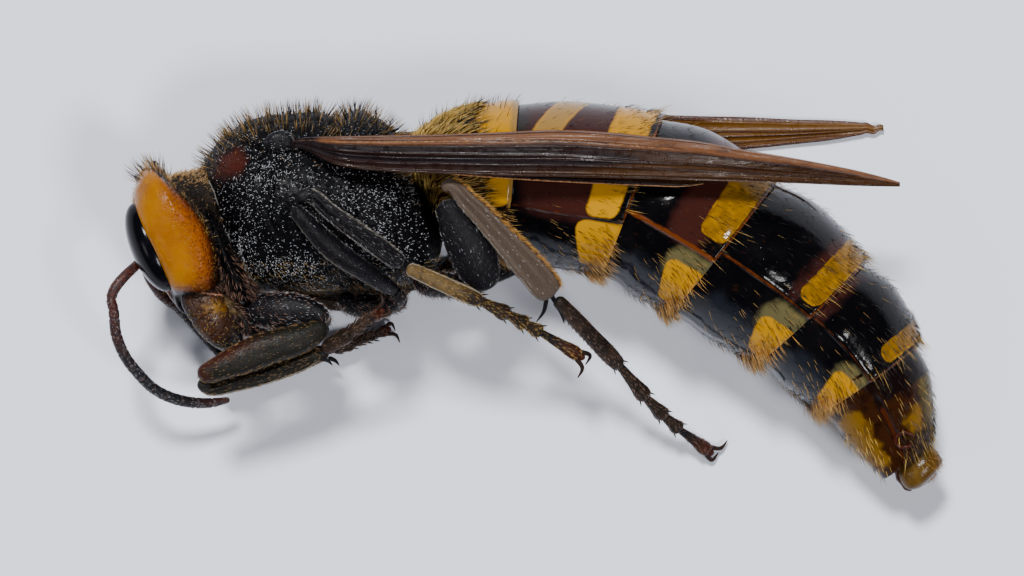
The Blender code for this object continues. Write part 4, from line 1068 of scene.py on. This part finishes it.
def thorax_hairs(skin, x, turn, dense):
    ends = window(skin.places, 0.03, 0.08, 0.9, 0.95)

    def fanned(at, along):
        forward = ease(-8.0, -13.5, at[:, 0])[:, None]
        return np.array([0.5, 0.5, 0.0]) * (1 - forward) + np.array([-0.6, 0.7, 0.0]) * forward

    def leaning_back(at, along):
        return along + np.array([0.0, 0.3, 0.0])

    back, wider_back = 1 - ease(34, 58, turn), 1 - ease(50, 75, turn)
    belly = ends * ease(120, 150, turn) + (x < -13.4) * 0.4
    skin.coat("down_thorax", "thorax_down", 8800, 201, ends * ease(20, 42, turn) * dense)
    skin.coat("hairs_thorax_back", "thorax_back", 1400, 202, ends * back, fanned)
    skin.coat("down_thorax_back", "thorax_back_down", 1500, 206, ends * wider_back, leaning_back)
    skin.coat("hairs_thorax_belly", "thorax_belly", 1500, 203, belly)


def build_neck():
    def dark_below(at):
        return ease(5.0, 4.7, at[:, 1]) * 0.97

    def longer_below(at):
        return 0.15 * ease(2.4, 1.2, at[:, 1])

    def paler_below(at):
        return -0.5 * ease(2.4, 1.2, at[:, 1])

    neck = thorax_skin(NECK, rows=40, columns=96)
    neck.piece("neck_skin", "neck_skin", "neck")
    neck.coat("wool_neck", "neck", 2600, 204, darker=dark_below)
    under = thorax_skin(PROPLEURA, rows=60, columns=96)
    under.piece("propleura_shell", "black_cuticle", "propleura", slot="thorax_cuticle")
    under.coat("wool_propleura", "propleura", 2400, 205, longer=longer_below, darker=paler_below)


# Head

HEAD_ROWS = 171
HEAD_COLUMNS = 220


def head_outline(level, count):
    """The head's outline from the side at a distance from its middle plane, as a smooth closed loop."""
    off = abs(level)
    hollow = NAPE_HOLLOW * max(0.0, 1 - (off / NAPE_HALF_WIDTH) ** 2)
    share = ease(CLYPEUS_HALF_WIDTH - 0.15, CLYPEUS_HALF_WIDTH + 0.35, np.array(off))
    chin = np.array(CLYPEUS_LINE) * (1 - share) + np.array(CHEEK_LINE) * share
    nape = [(x - hollow * math.sin(math.pi * i / len(NAPE_LINE)), y) for i, (x, y) in enumerate(NAPE_LINE)]
    corners = np.concatenate([FACE_LINE, chin, nape])
    wrapped = np.concatenate([corners[-3:], corners, corners[:3]])
    knots = knots_of(wrapped)
    return curve_through(wrapped, np.linspace(knots[3], knots[-3], count + 1)[:-1], 2)


def head_skin():
    """Rows run from the right side of the head to the left, and columns round its outline."""
    lean = np.linspace(-math.pi / 2, math.pi / 2, HEAD_ROWS)
    power = 2 / HEAD_SQUARENESS
    levels = HEAD_HALF_WIDTH * np.sign(np.sin(lean)) * np.abs(np.sin(lean)) ** power
    scales = np.maximum(np.cos(lean), 1e-3) ** power
    centre = np.array(HEAD_CENTRE)
    rows = []
    for level, scale in zip(levels, scales):
        outline = centre + (head_outline(level, HEAD_COLUMNS) - centre) * scale
        rows.append(np.column_stack([outline, np.full(HEAD_COLUMNS, HEAD_MID + level)]))
    return Skin(np.stack(rows))


def eye_frame(points, side):
    """Points in the eye's own axes: ahead, along and out, as shares of its radii."""
    x, y = points[..., 0] - EYE_CENTRE[0], points[..., 1] - EYE_CENTRE[1]
    ahead = x * math.cos(EYE_LEAN) + y * math.sin(EYE_LEAN)
    along = -x * math.sin(EYE_LEAN) + y * math.cos(EYE_LEAN)
    out = points[..., 2] - HEAD_MID - side * EYE_OUT
    return ahead / EYE_RADII[0], along / EYE_RADII[1], out / EYE_RADII[2]


def head_relief(points, x, y, level, off, rear):
    """Sockets round the eyes, the groove of the frons, the clypeus, the feelers' sockets and the cheeks."""
    face = ease(-16.6, -16.9, x)
    clypeus = np.hypot(level / 1.75, (y - 0.4) / 1.35)
    dent = (0.12 * np.exp(-(clypeus**2) * 2) - 0.1 * bell(clypeus, 1, 0.07)) * (x < -15.2)
    dent -= 0.08 * bell(level, 0, 0.12) * (y > 3.0) * face
    for side in (1, -1):
        near = np.sqrt(sum(part**2 for part in eye_frame(points, side)))
        dent -= 0.1 * bell(near, 1.06, 0.05) + 0.9 * np.clip(1.03 - near, 0, None)
        torulus = np.hypot(level - side * 0.75, y - 1.95) / 0.34
        dent += (0.1 * bell(torulus, 1.35, 0.3) - 0.16 * bell(torulus, 0.4, 0.45)) * face
    dent += 0.05 * bell(rear, 0.3, 0.14) * ease(2.4, 3.6, off)
    return dent + 0.1 * bell(x, -15.2, 1.1) * bell(y, 3.0, 1.8) * ease(3.0, 4.4, off)


def head_markings(points, x, y, level, off, rear):
    """Off is the distance from the head's middle plane, and rear that from the line of the nape."""
    ahead, beside, out = eye_frame(points, 1)
    # Painted highlight: a thin pale line along the rear border of the eye.
    eye_rim_highlight = 0.03 - np.abs(np.sqrt(ahead**2 + beside**2 + out**2) - 1.05) * 1.2
    eye_rim_highlight = np.where((ahead > 0) & (np.abs(beside + 0.05) < 0.3) & (out > 0), eye_rim_highlight, -1.0)
    jaw_rim = 0.02 - line_distance(points, [(-16.45, 0.42), (-16.1, 0.02), (-15.6, -0.22)]) - (off < 3.0)
    inside_nape = ease(2.9, 2.3, off) * (x > -15.6) * (y > 0.3)
    ahead_of_eye = np.clip(-16.2 - x, 0, 2)
    return {
        "browning": 1.05 - rear - np.clip(y - 3.6, 0, 3) * 0.5 - ahead_of_eye,
        "reddening": np.maximum(
            0.36 - rear - np.clip(y - 4.2, 0, 3) * 0.4 - ahead_of_eye,
            np.where(off > 0.9, 0.3 - y, -0.75 - y),
        ),
        "pale": np.maximum(jaw_rim, eye_rim_highlight),
        "dark": np.maximum.reduce([
            0.14 - rear - ease(3.2, 2.4, off),
            np.where(inside_nape > 0.5, 0.5, -1.0),
            0.06 - line_distance(points, CHEEK_LINE) - 0.4 * (off < 2.0),
            0.42 - np.hypot(level * 0.7, (y - 5.4) * 0.8),
            -0.62 + 0.74 * ease(0.8, 1.9, off) - y - np.clip(-16.3 - x, 0, 9) * 4,
            0.05 - line_distance(points, FACE_LINE[:4]) - 3 * (off < 3.5),
        ]),
    }


def build_head():
    skin = head_skin()
    points, level = skin.points, skin.points[..., 2] - HEAD_MID
    x, y, off = points[..., 0], points[..., 1], np.abs(level)
    rear = line_distance(points, NAPE_LINE + [(-17.05, 5.65), (-17.5, 4.95)])
    skin.displace(head_relief(points, x, y, level, off, rear))
    skin.fields = head_markings(skin.points, x, y, level, off, rear)
    skin.piece("head_shell", "orange_cuticle", "head")
    head_hairs(skin, off)
    for side, word in ((1, "left"), (-1, "right")):
        build_eye(side, word)
        build_mandible(side, word)
    build_ocelli()
    build_mouthparts()
    build_antennae()


def head_hairs(skin, off):
    x, y = skin.points[..., 0], skin.points[..., 1]

    def fanned(at, along):
        return np.stack([-1.1 + 0.9 * (at[:, 0] + 17.4), np.full(len(at), 0.75), np.zeros(len(at))], axis=-1)

    def dark_below(at):
        return ease(4.95, 4.6, at[:, 1]) * 0.85

    crown = ease(4.9, 5.4, y) * (x < -16.2) * (off < 3.6)
    rim = bell(line_distance(skin.points, NAPE_LINE[3:]), 0, 0.16) * (off < 4.0)
    nape = (x > -15.6) * ease(2.9, 2.3, off) * (y > -0.2)
    chin = (y < 0.5) * (x > -14.3) * (off < 3.0)
    skin.coat("hairs_crown", "crown", 90, 301, crown, fanned)
    skin.coat("down_crown", "crown_down", 220, 306, ease(4.7, 5.2, y) * (off < 2.9), (-0.1, 0.8, 0))
    skin.coat("hairs_nape_rim", "nape_rim", 300, 307, rim, (-0.8, 0.6, 0.2))
    skin.coat("wool_nape", "nape", 1800, 302, nape, (0.5, 0.3, 0), darker=dark_below, slot="neck_skin")
    skin.coat("hairs_face", "face", 900, 303, (x < -16.2) * (off < 2.3), (-0.2, -0.8, 0))
    skin.coat("hairs_cheek", "cheek", 420, 304, (off > 3.3) * ease(-15.6, -14.2, x), (0.3, -0.7, 0))
    skin.coat("wool_chin", "chin", 700, 305, chin, (0.5, -0.8, 0), slot="neck_skin")


def build_eye(side, word):
    ahead, out, along = ball(rows=60, columns=72, gap=0.02)
    ahead, along, out = (radius * share for radius, share in zip(EYE_RADII, (ahead, along, out)))
    x = EYE_CENTRE[0] + ahead * math.cos(EYE_LEAN) - along * math.sin(EYE_LEAN)
    y = EYE_CENTRE[1] + ahead * math.sin(EYE_LEAN) + along * math.cos(EYE_LEAN)
    z = HEAD_MID + side * EYE_OUT + out
    Skin(np.stack([x, y, z], axis=-1)).piece(f"eye_dome_{word}", "eye", f"eye_{word}")


def build_mandible(side, word):
    skin = limb_skin(MANDIBLE, rows=90, columns=64, height=HEAD_MID, side=side)
    places = skin.places
    x, y = skin.points[..., 0], skin.points[..., 1]
    teeth = np.sin(np.clip(places - 0.5, 0, 1) * 2 * math.pi * 5) * bell(skin.angles, math.pi, 0.5)
    skin.displace(0.05 * teeth * ease(0.5, 0.6, places) - 0.05 * bell(places, 0.36, 0.03))
    skin.fields = {
        "yellow": 0.2 - np.hypot((x + 13.85) * 0.6, y + 0.6),
        "dark": np.maximum((places - 0.62) * 4, -15.35 - x + 0.5 * (-0.2 - y)),
        "pale": 0.03 - np.abs(y - 0.08 + (x + 14.6) * 0.1),
    }
    skin.piece(f"mandible_blade_{word}", "jaw_cuticle", f"mandible_{word}")
    skin.coat(f"hairs_mandible_{word}", "mandible", 360, 310 + side, (places > 0.25) * (places < 0.9))


# The three small eyes of the crown: x, y and the distance from the head's middle plane.
OCELLI = [(-17.1, 5.55, 0.0), (-16.75, 6.02, 0.42), (-16.75, 6.02, -0.42)]
OCELLUS_RADIUS = 0.15
OCELLUS_SINK = 0.14


def build_ocelli():
    dome = np.stack(ball(rows=14, columns=24, gap=0.05), axis=-1) * OCELLUS_RADIUS
    for number, (x, y, z) in enumerate(OCELLI, start=1):
        Skin(np.array([x, y - OCELLUS_SINK, HEAD_MID + z]) + dome).piece(f"ocellus_{number}", "eye")


TONGUE = [
    (-14.3, -0.6, 0, 0.4, 0.9), (-13.9, -1.1, 0, 0.55, 1.0), (-13.35, -1.75, 0, 0.5, 0.85),
    (-12.85, -2.3, 0, 0.25, 0.4),
]
MAXILLA = [
    (-14.0, -0.1, 1.5, 0.3, 0.3), (-13.4, -0.6, 1.6, 0.44, 0.4), (-12.8, -1.15, 1.4, 0.48, 0.36),
    (-12.2, -1.5, 1.1, 0.42, 0.3), (-11.7, -1.7, 0.9, 0.2, 0.18),
]
PALP = [
    (-13.2, -0.7, 1.9, 0.12), (-12.8, -0.95, 2.2, 0.11), (-12.5, -1.4, 2.3, 0.1), (-12.5, -1.9, 2.2, 0.06),
]


def build_mouthparts():
    """The tongue and two pairs of plates and feelers behind the jaws."""
    for number, (name, stations, side, count) in enumerate((
        ("tongue", TONGUE, 1, 420), ("maxilla_left", MAXILLA, 1, 420), ("maxilla_right", MAXILLA, -1, 420),
        ("palp_left", PALP, 1, 90), ("palp_right", PALP, -1, 90),
    )):
        skin = limb_skin(stations, rows=50, columns=40, height=HEAD_MID, side=side)
        skin.displace(0.02 * np.sin(skin.places * 24))
        skin.fields = {"warm": 0.2 - skin.places, "dark": skin.places - 0.4}
        replaced = ["mouthparts"] if name == "tongue" else []
        skin.piece(name, "leg_cuticle", *replaced, slot="jaw_cuticle")
        skin.coat(f"hairs_{name}", "mouthparts", count, 320 + number, skin.places > 0.1)


def build_antennae():
    """The scape, the pedicel and a flagellum of ten joints, each with a narrow waist."""
    joints = np.concatenate([[0.225, 0.265], np.linspace(0.3, 0.93, 10)])
    for number, (word, stations) in enumerate((("left", ANTENNA_LEFT), ("right", ANTENNA_RIGHT))):
        skin = limb_skin(stations, rows=360, columns=24)
        places = skin.places
        away = apart(places, *joints) * skin.length
        skin.displace(0.012 * bell(away, 0.13, 0.07) - 0.026 * bell(away, 0, 0.045))
        skin.fields = {"warm": np.maximum((0.36 - places) * 3, (places - 0.95) * 4), "ring": 0.014 - away}
        skin.piece(f"feeler_{word}", "antenna_cuticle", f"antenna_{word}")
        skin.coat(f"down_feeler_{word}", "feeler", 1500, 330 + number)


# Wings

WING_COLUMNS = 112
WING_ROWS = 300
# Millimetres for a share of the wing's width.
WING_SCALE = 1.6
# Folds are place, height and width of each crease.
FOLDS = {
    "forewing_left": [
        (0.16, 0.13, 0.07), (0.42, 0.2, 0.12), (0.6, -0.1, 0.05), (0.75, 0.14, 0.08), (0.93, -0.06, 0.04),
    ],
    "hindwing_left": [(0.3, 0.08, 0.08), (0.7, -0.08, 0.1)],
    "forewing_right": [(0.2, 0.05, 0.06), (0.5, 0.07, 0.1), (0.75, -0.05, 0.06)],
    "hindwing_right": [(0.4, 0.06, 0.1)],
}


def wing_skin(stations, folds, veins, thickness=0.055):
    """A thin folded blade, with its places across and along and how far away the nearest vein is."""
    stations = np.array(stations, float)
    read = curve_through(np.hstack([stations[:, :3], stations]), np.linspace(0, 1, WING_ROWS))[:, 3:]
    start, end = read[:, [0, 1, 2]], read[:, [0, 3, 4]]
    normal = unit(np.cross(unit(end - start), np.array([1.0, 0, 0])))
    half = WING_COLUMNS // 2
    across = np.concatenate([np.linspace(0, 1, half), np.linspace(1, 0, half)])
    face = np.concatenate([np.ones(half), -np.ones(half)])
    edge = np.sqrt(np.clip(1 - (2 * across - 1) ** 8, 0, 1))
    along = np.linspace(0, 1, WING_ROWS)[:, None]
    crease, raised, away = 0.0, 0.0, 1.0
    for place, height, width in folds:
        crease = crease + height * bell(across, place + 0.03 * np.sin(along * 5 + place * 9), width)
    narrow = window(along, 0, 0.12, 0.82, 1.0) * 0.85 + 0.15
    for first, last, begin, stop in veins:
        line = first + (last - first) * along + 0.012 * np.sin(along * 9 + first * 17)
        shown = window(along, begin - 0.05, begin + 0.03, stop - 0.03, stop + 0.05)
        raised = raised + 0.07 * bell(across, line, 0.022) * shown
        away = np.minimum(away, np.abs(across - line) + (1 - shown))
    lift = crease * narrow + face * edge * (thickness + raised * (face > 0))
    width = (end - start)[:, None, :] * across[None, :, None]
    skin = Skin(start[:, None, :] + width + normal[:, None, :] * lift[..., None])
    skin.along, skin.across = np.meshgrid(along, across, indexing="ij")
    skin.vein_away = away
    return skin


def tucked(hindwing, forewing, offset):
    """The stations of a hindwing that lies at this height over its forewing's plane."""
    x, *edges = np.array(forewing, float).T

    def height(at, y):
        inner_y, inner_z, outer_y, outer_z = (np.interp(at, x, edge) for edge in edges)
        return inner_z + (outer_z - inner_z) * (inner_y - y) / (inner_y - outer_y)

    return [(at, a, height(at, a) + offset, b, height(at, b) + offset) for at, a, b in hindwing]


def vein_field(skin):
    return (0.02 - skin.vein_away) * WING_SCALE


def build_wings():
    skin = wing_skin(FOREWING_LEFT, FOLDS["forewing_left"], FOREWING_VEINS)
    across, along, x = skin.across, skin.along, skin.points[..., 0]
    purple = 0.42 - np.abs(across - 0.6) * 1.6 - ease(0.45, 0.62, along) * 0.45
    skin.fields = {
        "warm": np.maximum((0.36 - across) * WING_SCALE, (along - 0.9) * 2),
        "purple": np.maximum(purple, (-9.2 - x) * 0.6),
        "amber": np.minimum(across - 0.5, along - 0.5 + 0.3 * (across - 0.5)) * WING_SCALE,
        "vein": (0.018 - skin.vein_away) * WING_SCALE,
        # Painted highlight: a pale line along the vein in the upper stripe.
        "pale": 0.006 - np.abs(across - 0.235 - 0.06 * ease(0.25, 0.6, along)) * 1.5 - (along > 0.62),
    }
    skin.piece("wing_front_left", "wing_membrane", "forewing_left")

    stations = tucked(HINDWING_LEFT, FOREWING_LEFT, -HINDWING_DROP)
    skin = wing_skin(stations, FOLDS["hindwing_left"], HINDWING_VEINS)
    skin.fields = {
        "amber": skin.along - 0.55, "purple": 0.8 - skin.along, "vein": vein_field(skin),
        "pale": skin.across - 0.985,
    }
    skin.piece("wing_hind_left", "wing_membrane", "hindwing_left")

    skin = wing_skin(FOREWING_RIGHT, FOLDS["forewing_right"], FOREWING_VEINS, thickness=0.05)
    x = skin.points[..., 0]
    skin.points[..., 1] += 0.06 * np.sin(x * 9) * ease(15.0, 16.0, x)
    edges = np.maximum(0.13 - skin.across, skin.across - 0.9) * WING_SCALE
    skin.fields = {"purple": edges, "vein": vein_field(skin)}
    skin.piece("wing_front_right", "clear_wing", "forewing_right", slot="wing_membrane")

    stations = tucked(HINDWING_RIGHT, FOREWING_RIGHT, HINDWING_DROP)
    skin = wing_skin(stations, FOLDS["hindwing_right"], HINDWING_VEINS, thickness=0.05)
    skin.fields = {"purple": 0.1 - skin.across, "vein": vein_field(skin)}
    skin.piece("wing_hind_right", "clear_wing", "hindwing_right", slot="wing_membrane")

    for side, word in ((1, "left"), (-1, "right")):
        skin = limb_skin(TEGULA, rows=50, columns=40, height=THORAX_MID, side=side)
        hollow = np.hypot((skin.places - 0.5) / 0.22, np.abs(skin.angles - math.pi / 2) / 0.8)
        skin.displace(-0.08 * np.exp(-(hollow**2)) * (skin.angles < math.pi))
        skin.fields = {"dark": 0.6}
        skin.piece(f"tegula_scale_{word}", "leg_cuticle", f"tegula_{word}")
        skin.coat(f"hairs_tegula_{word}", "tegula", 160, 340 + side)


# Legs

# How wide the tarsal joints are at these places along them: the first, the next three and the last.
TARSUS_PLACES = (0, 0.22, 0.56, 0.86, 1)
TARSUS_WIDTHS = {
    1: (0.8, 0.95, 1.0, 1.02, 0.85), 2: (0.5, 0.6, 0.78, 1.0, 0.95), 3: (0.5, 0.6, 0.78, 1.0, 0.95),
    4: (0.5, 0.6, 0.78, 1.0, 0.95), 5: (0.4, 0.52, 0.72, 0.95, 0.85),
}
# The thorns on the end of a tarsal joint.
END_THORNS = 5
COAT_COUNTS = {"coxa": 500, "femur": 700, "tibia": 1000}


def spike(name, root, tip, radius, tone, bend=None, rows=24):
    """A claw or a spur: a thorn that may curve through a middle point."""
    middle = (root + tip) / 2 if bend is None else bend
    shares = ((root, 1), (middle, 0.75), (tip, 0.16))
    skin = limb_skin([(*at, radius * share) for at, share in shares], rows, 16)
    skin.fields = LEG_TONES[tone]
    skin.piece(name, "leg_cuticle")


def build_tarsus(side, leg, seed):
    joints = np.array(leg["tarsus"], float)
    radius, turn = leg["radius"], leg["claw_turn"]
    kind = "golden_tarsus" if side.startswith("mid") else "tarsus"
    for number, (near, far) in enumerate(zip(joints[:-1], joints[1:]), start=1):
        along, length = unit(far - near), np.linalg.norm(far - near)
        overlap = radius * 0.35
        first, last = near - along * overlap * (number > 1), far + along * overlap * 0.2
        stations = [
            (*(first + (last - first) * share), radius * width, radius * width * 0.82)
            for share, width in zip(TARSUS_PLACES, TARSUS_WIDTHS[number])
        ]
        skin = limb_skin(stations, rows=44, columns=32)
        places, angles = skin.places, skin.angles
        groove = bell(angles, math.pi / 2, 0.25) * ease(0.1, 0.3, places)
        skin.displace(0.02 * np.sin(angles * 4 + number) * ease(0.2, 0.8, places) - 0.03 * groove)
        skin.fields = dict(LEG_TONES[leg["tones"][-1]])
        if number == 5:
            skin.fields = {"reddening": (places - 0.6) * 0.7, "dark": (0.45 - places) * 0.6}
        elif number == 1 and side == "mid_left":
            skin.fields["pale"] = 0.07 - apart(angles, 2.8, 0.3) * radius
            skin.fields["warm"] = 0.2 - 0.5 * ease(0.5, 1.0, places)
        elif side == "mid_left":
            skin.fields["warm"] = -0.12 - 0.1 * number
        replaced = [f"leg_{side}_tarsus"] if number == 1 else []
        skin.piece(f"tarsus_{side}_{number}", "leg_cuticle", *replaced)
        count = int(110 + 90 * length)
        skin.coat(f"hairs_tarsus_{side}_{number}", kind, count, seed + number, places > 0.08)
        if number < 5:
            count = END_THORNS + int(length * 2.4) * (number == 1)
            tarsus_thorns(f"{side}_{number}", first, last, radius, count)
    build_foot(side, joints[-1], unit(joints[-1] - joints[-2]), radius, turn)


def build_foot(side, end, along, radius, turn):
    across = unit(np.cross(along, UP))
    for spread, letter in ((-1, "a"), (1, "b")):
        root = end - along * radius * 0.3 + across * spread * radius * 0.45
        bend = root + along * radius * 1.6 + across * (spread * 0.5 + turn * 0.3) * radius
        tip = bend + along * radius * 0.1 + across * turn * radius * 1.3 - UP * radius * 0.2
        spike(f"claw_{side}_{letter}", root, tip, radius * 0.34, "red", bend)
    pad = end + along * radius * 0.55
    stations = [
        (*end, radius * 0.4, radius * 0.3), (*pad, radius * 0.45, radius * 0.35),
        (*(pad + along * 0.12), 0.06, 0.06),
    ]
    skin = limb_skin(stations, rows=20, columns=20)
    skin.fields = {"reddening": 0.3}
    skin.piece(f"foot_pad_{side}", "leg_cuticle")


def tarsus_thorns(name, first, last, radius, count):
    """Thorns on the end of a tarsal joint, and the rest along the lower edge of the long first joint."""
    along = unit(last - first)
    across = unit(np.cross(along, UP))
    down = np.cross(across, along)
    for thorn in range(count):
        if thorn < END_THORNS:
            lean = (thorn - 2) / 2 * 1.2
            spoke = across * math.sin(lean) - down * 0.5 * math.cos(lean)
            foot = last - along * radius * 0.35 + spoke * radius * 0.8
        else:
            spoke = across - down * 0.3
            share = 0.2 + 0.7 * (thorn - END_THORNS) / max(count - END_THORNS, 1)
            foot = first + (last - first) * share + spoke * radius * 0.75
        tip = foot + along * radius * 0.9 + spoke * radius * 0.45
        spike(f"thorn_{name}_{thorn}", foot, tip, 0.045, "brown", rows=8)


def build_leg(side, leg, seed):
    front, mid, hind = (side.startswith(pair) for pair in ("front", "mid", "hind"))
    for order, (part, tone) in enumerate(zip(("coxa", "femur", "tibia"), leg["tones"])):
        skin = limb_skin(leg[part], rows=84, columns=52)
        skin.fields = dict(LEG_TONES[tone])
        places, angles = skin.places, skin.angles
        ends = window(places, 0.06, 0.2, 0.86, 0.96)
        if part == "tibia":
            ridge = bell(angles, 1.7, 0.16)
            hollows = bell(angles, 1.05, 0.3) + bell(angles, 2.3, 0.26)
            skin.displace((0.07 * ridge - 0.1 * hollows) * ends)
            seam = apart(angles, 0.4) if hind else apart(angles, 2.75, 0.35)
            width = 0.1 if side == "front_left" else 0.06
            skin.fields["pale"] = np.where(ends > 0.3, (width - seam) * 0.35, -1.0)
        if part == "femur" and mid:
            skin.fields["pale"] = np.where(ends > 0.3, (0.05 - apart(angles, 2.8)) * 0.35, -1.0)
        skin.displace(0.012 * np.sin(places * 13 + angles * 2))
        if side == "front_left" and part == "femur":
            upper_edge = np.minimum((places - 0.6) * 0.8, (np.cos(angles) - 0.45) * 0.5)
            skin.fields["reddening"] = np.maximum((places - 0.94) * 3, upper_edge)
        skin.piece(f"{part}_{side}", "leg_cuticle", f"leg_{side}_{part}")
        clear_of_root = places > 0.04
        if part == "coxa":
            skin.coat(f"wool_{part}_{side}", "coxa", 500, seed + 60, clear_of_root)
            kind = "coxa_down"
        else:
            kind = "front_leg_down" if front else "leg_down"
        count = COAT_COUNTS[part] * (2 if side == "front_left" else 1)
        where = clear_of_root * (0.4 + (np.abs(np.sin(angles)) < 0.45))
        skin.coat(f"down_{part}_{side}", kind, count, seed + order * 10, where)
        if part == "tibia" and hind:
            where = (np.cos(angles) < -0.88) * (places > 0.06) * (places < 0.97)
            skin.coat(f"fringe_{side}", "tibia_fringe", 1000, seed + 40, where)
    build_spurs(side, leg["tibia"], 1.0 if side == "hind_left" else 0.6)


def build_spurs(side, tibia, size):
    end = np.array(tibia[-1][:3])
    along = unit(end - np.array(tibia[-3][:3]))
    across = unit(np.cross(along, UP))
    for number, ahead, over in ((1, 0.45, 1.35), (2, 1.4, 0.43)):
        root = end - along * 0.1 + across * (0.55 - 0.25 * number) - UP * 0.05
        tip = end + (along * ahead + across * over) * size - UP * 0.25
        bend = (root + tip) / 2 + (along * 0.12 - across * 0.04) * size
        spike(f"spur_{side}_{number}", root, tip, 0.11, "black", bend)


# Tail

TAIL_LOBE = [
    (17.3, -7.0, 3.0, 0.7, 0.5), (17.6, -7.45, 3.05, 0.98, 0.6), (17.85, -7.85, 3.05, 1.1, 0.72),
    (18.05, -8.15, 2.98, 1.05, 0.68), (18.3, -8.45, 2.88, 0.7, 0.46),
]
STING_ROD = [
    (16.45, -6.7, 3.5, 0.16), (16.75, -7.5, 3.3, 0.2), (16.95, -8.2, 3.0, 0.22), (17.15, -8.55, 2.85, 0.2),
    (17.38, -8.8, 2.76, 0.15), (17.5, -8.92, 2.72, 0.07),
]
RING_CENTRE = np.array([17.05, -6.55, 4.7])
RING_RADII = np.array([0.42, 0.34, 0.17])
RING_THICKNESS = 0.09


def build_tail():
    """The pale lobe, the reddish rod under it and the small ring of the last plate."""
    lobe = limb_skin(TAIL_LOBE, rows=60, columns=56)
    lobe.displace(0.03 * np.sin(lobe.places * 8 + lobe.angles * 2))
    lobe.piece("tail_lobe", "sting_cuticle", "sting_sheath")
    where = (lobe.places > 0.4) * (np.cos(lobe.angles) < -0.2)
    lobe.coat("hairs_tail_lobe", "tail_lobe", 110, 401, where)
    rod = limb_skin(STING_ROD, rows=60, columns=28)
    rod.displace(0.02 * np.sin(rod.places * 30))
    rod.fields = {"dark": 0.3}
    rod.piece("sting_rod", "sting_cuticle", "sting")
    turn = np.arange(0, 60, 3) * 2 * math.pi / 59 * 0.86 + 0.4
    centres = RING_CENTRE + RING_RADII * np.stack([np.cos(turn), np.sin(turn), np.sin(turn)], axis=-1)
    ring = limb_skin([(*centre, RING_THICKNESS) for centre in centres], rows=60, columns=20)
    ring.fields = {"dark": 0.3}
    ring.piece("tail_ring", "sting_cuticle")


# Stage

# The lamps: name, place in metres, width in degrees and strength.
LAMPS = [
    ("key", (-0.04, 0.14, 0.26), 10, 4.5), ("fill", (0.12, -0.1, 0.26), 14, 1.9),
    ("rim", (-0.2, -0.08, 0.2), 20, 0.4),
]


def build_stage():
    bpy.ops.mesh.primitive_plane_add(size=3.0, location=(0, 0, 0))
    floor = bpy.context.object
    floor.name = "floor"
    floor.data.materials.append(Look("floor_paper", (228, 232, 245), 0.85).done())

    scene = bpy.context.scene
    camera = bpy.data.cameras.new("camera")
    camera.sensor_width = SENSOR
    camera.lens = SENSOR * (CAMERA_HEIGHT - BODY_HEIGHT) / MM_PER_PIXEL / IMAGE_WIDTH
    camera.clip_start, camera.clip_end = 0.01, 10.0
    eye = bpy.data.objects.new("camera", camera)
    eye.location = (CAMERA_X * MM, CAMERA_Y * MM, CAMERA_HEIGHT * MM)
    scene.collection.objects.link(eye)
    scene.camera = eye

    for name, place, degrees, strength in LAMPS:
        light = bpy.data.lights.new(name, "SUN")
        light.energy = strength
        light.angle = math.radians(degrees)
        lamp = bpy.data.objects.new(name, light)
        lamp.location = place
        lamp.rotation_euler = (-Vector(place)).to_track_quat("-Z", "Y").to_euler()
        scene.collection.objects.link(lamp)


def build_sky():
    """A pale room that is bright at the horizon and dim overhead."""
    world = bpy.data.worlds.new("studio")
    world.use_nodes = True
    nodes, links = world.node_tree.nodes, world.node_tree.links
    sky = nodes["Background"]
    sky.inputs["Color"].default_value = rgb(232, 236, 246)
    height = nodes.new("ShaderNodeSeparateXYZ")
    links.new(nodes.new("ShaderNodeTexCoord").outputs["Generated"], height.inputs[0])
    fade = nodes.new("ShaderNodeMapRange")
    for socket, value in (("From Min", 0.05), ("From Max", 0.16), ("To Min", 1.3), ("To Max", 0.1)):
        fade.inputs[socket].default_value = value
    links.new(height.outputs["Z"], fade.inputs["Value"])
    links.new(fade.outputs["Result"], sky.inputs["Strength"])
    bpy.context.scene.world = world


build_stage()
build_sky()
make_body_materials()
make_limb_materials()
make_hair_materials()
for look in LOOKS.values():
    look.done()
build_gaster()
build_thorax()
build_head()
build_wings()
for index, (side, leg) in enumerate(LEGS.items()):
    build_leg(side, leg, 1000 + 100 * index)
    build_tarsus(side, leg, 3000 + 100 * index)
build_tail()
